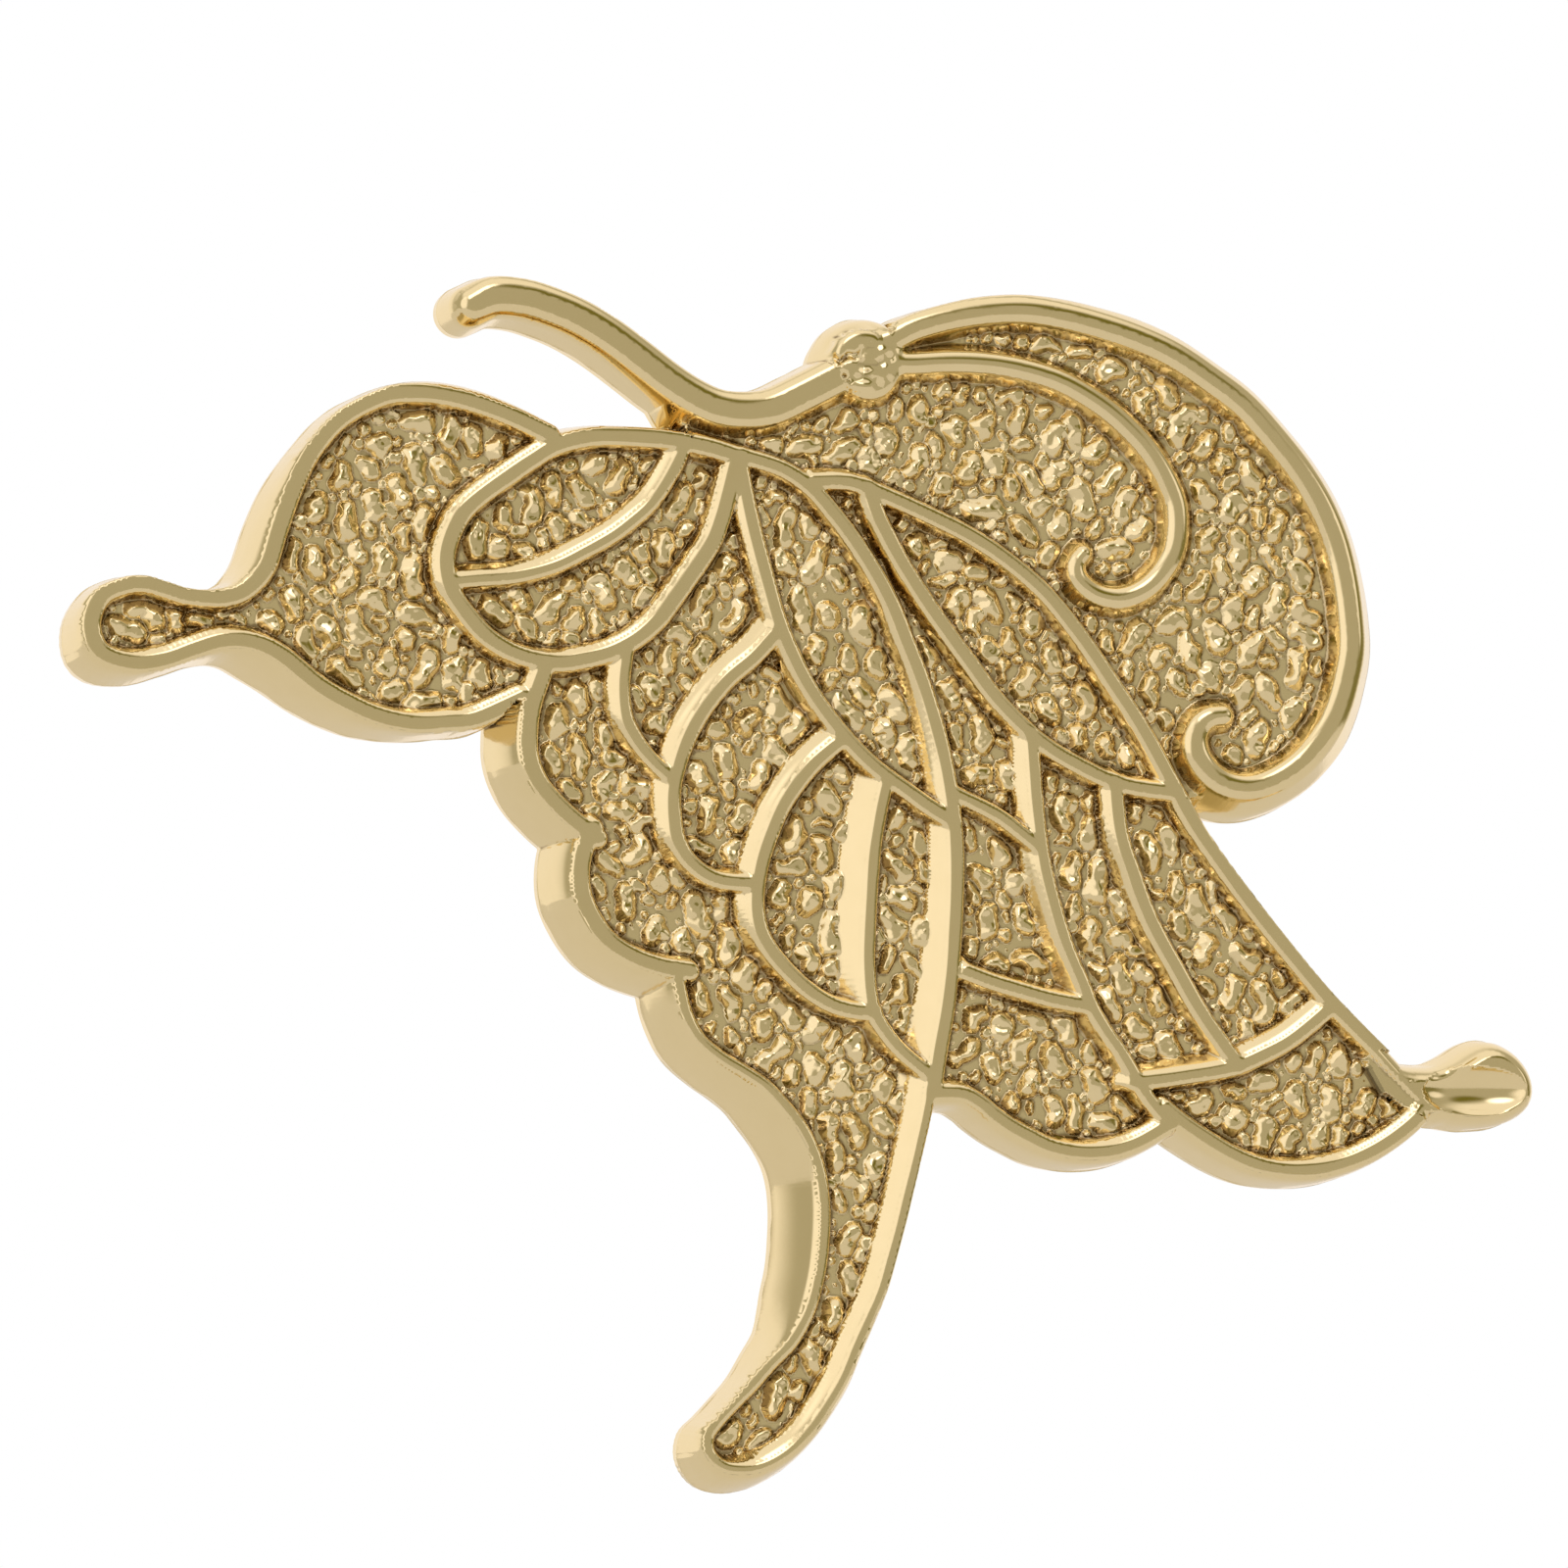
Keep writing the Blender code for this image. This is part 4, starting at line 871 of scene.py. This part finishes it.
def cavities(points, faces, normals):
    """How deep each vertex lies below its neighbours, along its normal, twice smoothed."""
    ends = edge_ends(faces)
    ends = np.concatenate([ends, ends[:, ::-1]])
    count = np.bincount(ends[:, 0], minlength=len(points)).astype(float)
    count = np.maximum(count, 1.0)

    def spread(values):
        return np.bincount(ends[:, 0], weights=values[ends[:, 1]], minlength=len(points)) / count

    middle = np.column_stack([spread(points[:, k]) for k in range(3)])
    depth = np.einsum("ij,ij->i", middle - points, normals)
    for _ in range(2):
        depth = (depth + spread(depth)) / 2
    return depth


def boundary(faces):
    """Edges with one triangle, in that triangle's direction."""
    ends = edge_ends(faces)
    keys = ends.min(axis=1) * 10_000_000 + ends.max(axis=1)
    _, first, count = np.unique(keys, return_index=True, return_counts=True)
    return ends[first[count == 1]]


def in_scene(name, data):
    """A new object of the scene."""
    made = bpy.data.objects.new(name, data)
    bpy.context.scene.collection.objects.link(made)
    return made


def as_object(name, points, faces, normals=None, shade_depth=None):
    """A mesh object from points in millimetres; the face has its own normals and an attribute of painted
    shade.
    """
    mesh = bpy.data.meshes.new(name)
    mesh.from_pydata((points * MM).tolist(), [], faces.tolist())
    mesh.shade_smooth()
    if normals is not None:
        layer = mesh.attributes.new("shade_depth", "FLOAT", "POINT")
        layer.data.foreach_set("value", shade_depth.astype(np.float32))
        mesh.normals_split_custom_set_from_vertices(normals.tolist())
    return in_scene(name, mesh)


def in_space(x, z, height):
    """Points of the model from plan points and their heights above the door."""
    return np.column_stack([x, -height, z])


def build_face(plate, relief_grid, relief, crease):
    """The relief sheet, in pieces under the triangle limit; returns them, its points and its rim."""
    def height_at(x, z):
        return face_height(plate, relief_grid, relief, x, z)

    x, z = face_points(plate)
    x, z, faces = triangles(plate, x, z)
    points = in_space(x, z, height_at(x, z))
    faces = wound(points, faces, -1)
    step = NORMAL_STEP
    normals = in_space(height_at(x - step, z) - height_at(x + step, z),
                       height_at(x, z - step) - height_at(x, z + step), np.full(len(x), 2 * step))
    normals /= np.linalg.norm(normals, axis=1)[:, None]
    # Painted shade in hollows: darker where a vertex lies below its neighbours
    depth = cavities(points, faces, normals)
    within_rim = plate.grid.sample(plate.outside.astype(float), x, z) < 0.5
    # Painted shade on steep flanks within the rim, and at the pebbles' feet mostly on the side facing away
    # from the light
    steep = np.clip((STEEP_FACING[0] - np.abs(normals[:, 1])) / STEEP_FACING[1], 0.0, 1.0)
    depth += STEEP_SHADE * within_rim * steep
    lit = (normals[:, 0] * LIT[0] + normals[:, 2] * LIT[1]) / np.maximum(
        np.hypot(normals[:, 0], normals[:, 2]), 0.1)
    shaded = np.clip(CREASE_SHADE[0] - CREASE_SHADE[1] * lit, 0.0, 1.0)
    depth += PEBBLE_FOOT_SHADE * relief_grid.sample(crease, x, z) * shaded
    centres = x[faces].mean(axis=1)
    pieces = []
    count = math.ceil(len(faces) / MOST_TRIANGLES)
    cuts = np.quantile(centres, np.linspace(0.0, 1.0, count + 1))
    cuts[0], cuts[-1] = -math.inf, math.inf
    for number, (left, right) in enumerate(zip(cuts, cuts[1:]), 1):
        chosen = faces[(centres > left) & (centres <= right)]
        used, local = np.unique(chosen, return_inverse=True)
        pieces.append(as_object(f"face_{number}", points[used], local.reshape(-1, 3), normals[used],
                                depth[used]))
    return pieces, x, z, boundary(faces)


def build_side(x, z, rim, plate):
    """The band between the parting line and the back edge, with a little flash on the line."""
    used, local = np.unique(rim, return_inverse=True)
    local = local.reshape(-1, 2)
    x, z = x[used], z[used]
    gx, gz = plate.grid.slope(plate.edge, x, z)
    size = np.maximum(np.hypot(gx, gz), 1e-6)
    gx, gz = gx / size, gz / size
    ragged = FLASH * uneven(x, z, (FLASH_WAVER,), FLASH_LEVEL)
    rows = [(PARTING - down, share * ragged) for down, share in FLASH_ROWS]
    rows.append((BACK_EDGE, 0.0 * ragged))
    points = np.vstack([in_space(x + gx * out, z + gz * out, np.full(len(x), height))
                        for height, out in rows])
    faces = []
    for row in range(len(rows) - 1):
        upper = local + row * len(x)
        lower = upper + len(x)
        faces.append(np.column_stack([upper[:, 1], upper[:, 0], lower[:, 0], lower[:, 1]]))
    return as_object("side", points, np.vstack(faces)), x, z, local


def build_back(plate, x, z, rim):
    """The plain flat back, rounded at its edge."""
    grid = plate.grid
    bx, bz = hexes(grid, BACK_POINTS / 2)
    edge = grid.sample(plate.edge, bx, bz)
    near = (edge > -BACK_ROWS[0]) & (edge < -BACK_ROWS[1])
    rx, rz = snap(grid, plate.edge, bx[near], bz[near], BACK_LEVELS)
    rx, rz = thinned(rx, rz, BACK_GAP)
    bx, bz = hexes(grid, BACK_POINTS)
    plain = grid.sample(plate.edge, bx, bz) < -BACK_INSET
    px = np.concatenate([x, rx, bx[plain]])
    pz = np.concatenate([z, rz, bz[plain]])
    px, pz, faces = triangles(plate, px, pz, rim.tolist())
    share = np.clip((grid.sample(plate.edge, px, pz) + BACK_ROUND) / BACK_ROUND, 0.0, 1.0)
    height = BACK + (BACK_EDGE - BACK) * (1.0 - np.sqrt(1.0 - share * share))
    points = in_space(px, pz, height)
    return as_object("back", points, wound(points, faces, 1))


def revolve(name, profile, angles, inward=False):
    """A surface about the post's axis, from rows of radius and height, that faces out or in."""
    points = np.vstack([np.column_stack([radius * np.cos(angles), np.full(len(angles), -height),
                                         radius * np.sin(angles)]) for radius, height in profile])
    steps = len(angles)
    step = np.arange(steps)
    after = (step + 1) % steps
    quads = np.column_stack([step, after, after + steps, step + steps])
    faces = np.vstack([quads + row * steps for row in range(len(profile) - 1)])
    return as_object(name, points, faces[:, ::-1] if inward else faces)


def build_post():
    """The turned post, from its flare at the back down to the chamfered foot and the hole's mouth."""
    arc = np.linspace(0.0, math.pi / 2, FLARE_STEPS)
    profile = [(POST_RADIUS + POST_FLARE + POST_SINK[0], BACK + POST_SINK[1])]
    profile += [(POST_RADIUS + POST_FLARE * (1.0 - math.sin(a)), BACK - POST_FLARE * (1.0 - math.cos(a)))
                for a in arc]
    profile += [(POST_RADIUS, POST_MIDDLE), (POST_RADIUS, FOOT_CHAMFER + 2 * FOOT_ROUND),
                (POST_RADIUS - FOOT_ROUND, FOOT_CHAMFER - FOOT_ROUND),
                (POST_RADIUS - FOOT_CHAMFER + FOOT_ROUND, FOOT_ROUND),
                (POST_RADIUS - FOOT_CHAMFER - 2 * FOOT_ROUND, 0.0),
                (FOOT_RING, 0.0), (HOLE_RADIUS + HOLE_CHAMFER, 0.0)]
    return revolve("post", profile, np.linspace(0.0, 2 * math.pi, POST_STEPS, endpoint=False))


def build_hole():
    """The tapped hole: a cut thread with run-out, a plain end and a drill point."""
    angles = np.linspace(0.0, 2 * math.pi, HOLE_STEPS, endpoint=False)
    heights = [0.0, *np.arange(THREAD_START, HOLE_DEPTH, THREAD_PITCH / THREAD_ROWS), HOLE_DEPTH]
    profile = []
    for height in heights:
        phase = (height / THREAD_PITCH + angles / (2 * math.pi)) % 1.0
        tooth = np.abs(2 * phase - 1.0)
        cut = THREAD_DEPTH * np.clip(THREAD_FORM[0] * tooth - THREAD_FORM[1], 0.0, 1.0)
        cut = cut * np.clip((THREAD_END - height) / THREAD_PITCH, 0.0, 1.0)
        mouth = HOLE_RADIUS + max(HOLE_CHAMFER - height, 0.0)
        profile.append((np.maximum(HOLE_RADIUS + cut, mouth), height))
    profile.append((DRILL_TIP, HOLE_DEPTH + HOLE_RADIUS * DRILL_POINT))
    return revolve("tapped_hole", profile, angles, inward=True)


def add_node(tree, kind, **settings):
    """A shader node with its settings."""
    made = tree.nodes.new("ShaderNode" + kind)
    for label, value in settings.items():
        setattr(made, label, value)
    return made


def map_range(tree, value, source, target, interpolation="LINEAR"):
    """A value mapped from one range to another."""
    made = add_node(tree, "MapRange", interpolation_type=interpolation)
    for label, number in zip(("From Min", "From Max", "To Min", "To Max"), source + target):
        made.inputs[label].default_value = number
    tree.links.new(value, made.inputs["Value"])
    return made.outputs["Result"]


def brass():
    """Polished cast brass, with brown painted shade in its crevices, on steep flanks and about the
    pebbles' feet.
    """
    made = bpy.data.materials.new("cast_brass_polished")
    made.use_nodes = True
    tree = made.node_tree
    links = tree.links
    shader = tree.nodes["Principled BSDF"]
    shader.inputs["Metallic"].default_value = 1.0
    shader.inputs["Specular Tint"].default_value = GLINT
    place = add_node(tree, "TexCoord")
    shade_depth = add_node(tree, "Attribute", attribute_name="shade_depth")
    tone = add_node(tree, "TexNoise")
    tone.inputs["Scale"].default_value = MOTTLE_SCALE
    tone.inputs["Detail"].default_value = MOTTLE_DETAIL
    links.new(place.outputs["Object"], tone.inputs["Vector"])
    tint = add_node(tree, "Mix", data_type="RGBA")
    tint.inputs["A"].default_value, tint.inputs["B"].default_value = BRASS_TINTS
    links.new(tone.outputs["Fac"], tint.inputs["Factor"])
    # Painted shade: the brown is mixed over the tints by the face's painted-shade attribute, a darkening
    # of hollows and unlit flanks
    shade_mix = add_node(tree, "Mix", data_type="RGBA")
    shade_mix.inputs["B"].default_value = SHADE_COLOUR
    shade_amount = map_range(tree, shade_depth.outputs["Fac"], SHADE_DEPTHS, (0.0, MOST_SHADE))
    links.new(shade_amount, shade_mix.inputs["Factor"])
    links.new(tint.outputs["Result"], shade_mix.inputs["A"])
    links.new(shade_mix.outputs["Result"], shader.inputs["Base Color"])
    rough = map_range(tree, tone.outputs["Fac"], (0.0, 1.0), ROUGHNESS)
    links.new(rough, shader.inputs["Roughness"])
    return made


def light():
    """White for the camera, and a room with soft boxes for the metal."""
    world = bpy.data.worlds.new("studio")
    bpy.context.scene.world = world
    world.use_nodes = True
    tree = world.node_tree
    links = tree.links
    tree.nodes.clear()
    place = add_node(tree, "TexCoord")
    level = None
    for direction, full, gone, strength in SOFT_BOXES:
        dot = add_node(tree, "VectorMath", operation="DOT_PRODUCT")
        dot.inputs[1].default_value = Vector(direction).normalized()
        links.new(place.outputs["Generated"], dot.inputs[0])
        span = (math.cos(math.radians(gone)), math.cos(math.radians(full)))
        box = map_range(tree, dot.outputs["Value"], span, (0.0, strength), "SMOOTHSTEP")
        add = add_node(tree, "VectorMath", operation="MULTIPLY_ADD")
        links.new(box, add.inputs[0])
        add.inputs[1].default_value = BOX_TINT
        add.inputs[2].default_value = FRONT
        if level:
            links.new(level, add.inputs[2])
        level = add.outputs["Vector"]
    least = add_node(tree, "VectorMath", operation="MAXIMUM")
    least.inputs[1].default_value = (DARKEST,) * 3
    links.new(level, least.inputs[0])
    around = add_node(tree, "Background")
    links.new(least.outputs["Vector"], around.inputs["Color"])
    seen = add_node(tree, "Background")
    seen.inputs["Color"].default_value = (1.0, 1.0, 1.0, 1.0)
    mix = add_node(tree, "MixShader")
    links.new(add_node(tree, "LightPath").outputs["Is Camera Ray"], mix.inputs["Fac"])
    links.new(around.outputs["Background"], mix.inputs[1])
    links.new(seen.outputs["Background"], mix.inputs[2])
    links.new(mix.outputs["Shader"], add_node(tree, "OutputWorld").inputs["Surface"])


def lay_floor():
    """A pale floor far below."""
    mesh = bpy.data.meshes.new("floor")
    sides = ((-1, -1), (1, -1), (1, 1), (-1, 1))
    corners = [(x * FLOOR_HALF, y * FLOOR_HALF, FLOOR_LEVEL) for x, y in sides]
    mesh.from_pydata(corners, [], [(0, 1, 2, 3)])
    paint = bpy.data.materials.new("pale_floor")
    paint.use_nodes = True
    shader = paint.node_tree.nodes["Principled BSDF"]
    shader.inputs["Base Color"].default_value = FLOOR_COLOUR
    shader.inputs["Roughness"].default_value = FLOOR_ROUGHNESS
    mesh.materials.append(paint)
    floor = in_scene("floor", mesh)


def aim_camera():
    """The camera, where the photograph was taken from."""
    camera = in_scene("camera", bpy.data.cameras.new("camera"))
    a, e = math.radians(AZIMUTH), math.radians(ELEVATION)
    back = Vector((math.sin(a) * math.cos(e), -math.cos(a) * math.cos(e), math.sin(e)))
    camera.location = (Vector(AIM) + back * DISTANCE) * MM
    camera.rotation_mode = "QUATERNION"
    camera.rotation_quaternion = (-back).to_track_quat("-Z", "Y")
    camera.data.lens = LENS
    camera.data.sensor_width = SENSOR
    camera.data.clip_start = 0.01
    bpy.context.scene.camera = camera


def main():
    """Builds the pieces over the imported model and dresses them."""
    box_lo, box_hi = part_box(NODE)
    low = (box_lo[0] / MM - MARGIN, box_lo[2] / MM - MARGIN)
    high = (box_hi[0] / MM + MARGIN, box_hi[2] / MM + MARGIN)
    grid = Grid(low, high, CELL)
    plate = Plate(grid)
    pebbles = scatter_pebbles(grid, plate.pebble_room(), np.random.RandomState(SEED))
    fine = Grid(low, high, CELL / 2)
    relief, crease = pebble_relief(fine, pebbles)
    pieces, x, z, rim = build_face(plate, fine, relief, crease)
    side, x, z, rim = build_side(x, z, rim, plate)
    pieces += [side, build_back(plate, x, z, rim), build_post(), build_hole()]
    metal = brass()
    for piece in pieces:
        piece.data.materials.append(metal)
        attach(piece, BODY)
        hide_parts(NODE)
    light()
    lay_floor()
    aim_camera()
    bpy.context.scene.view_settings.view_transform = "Standard"


main()
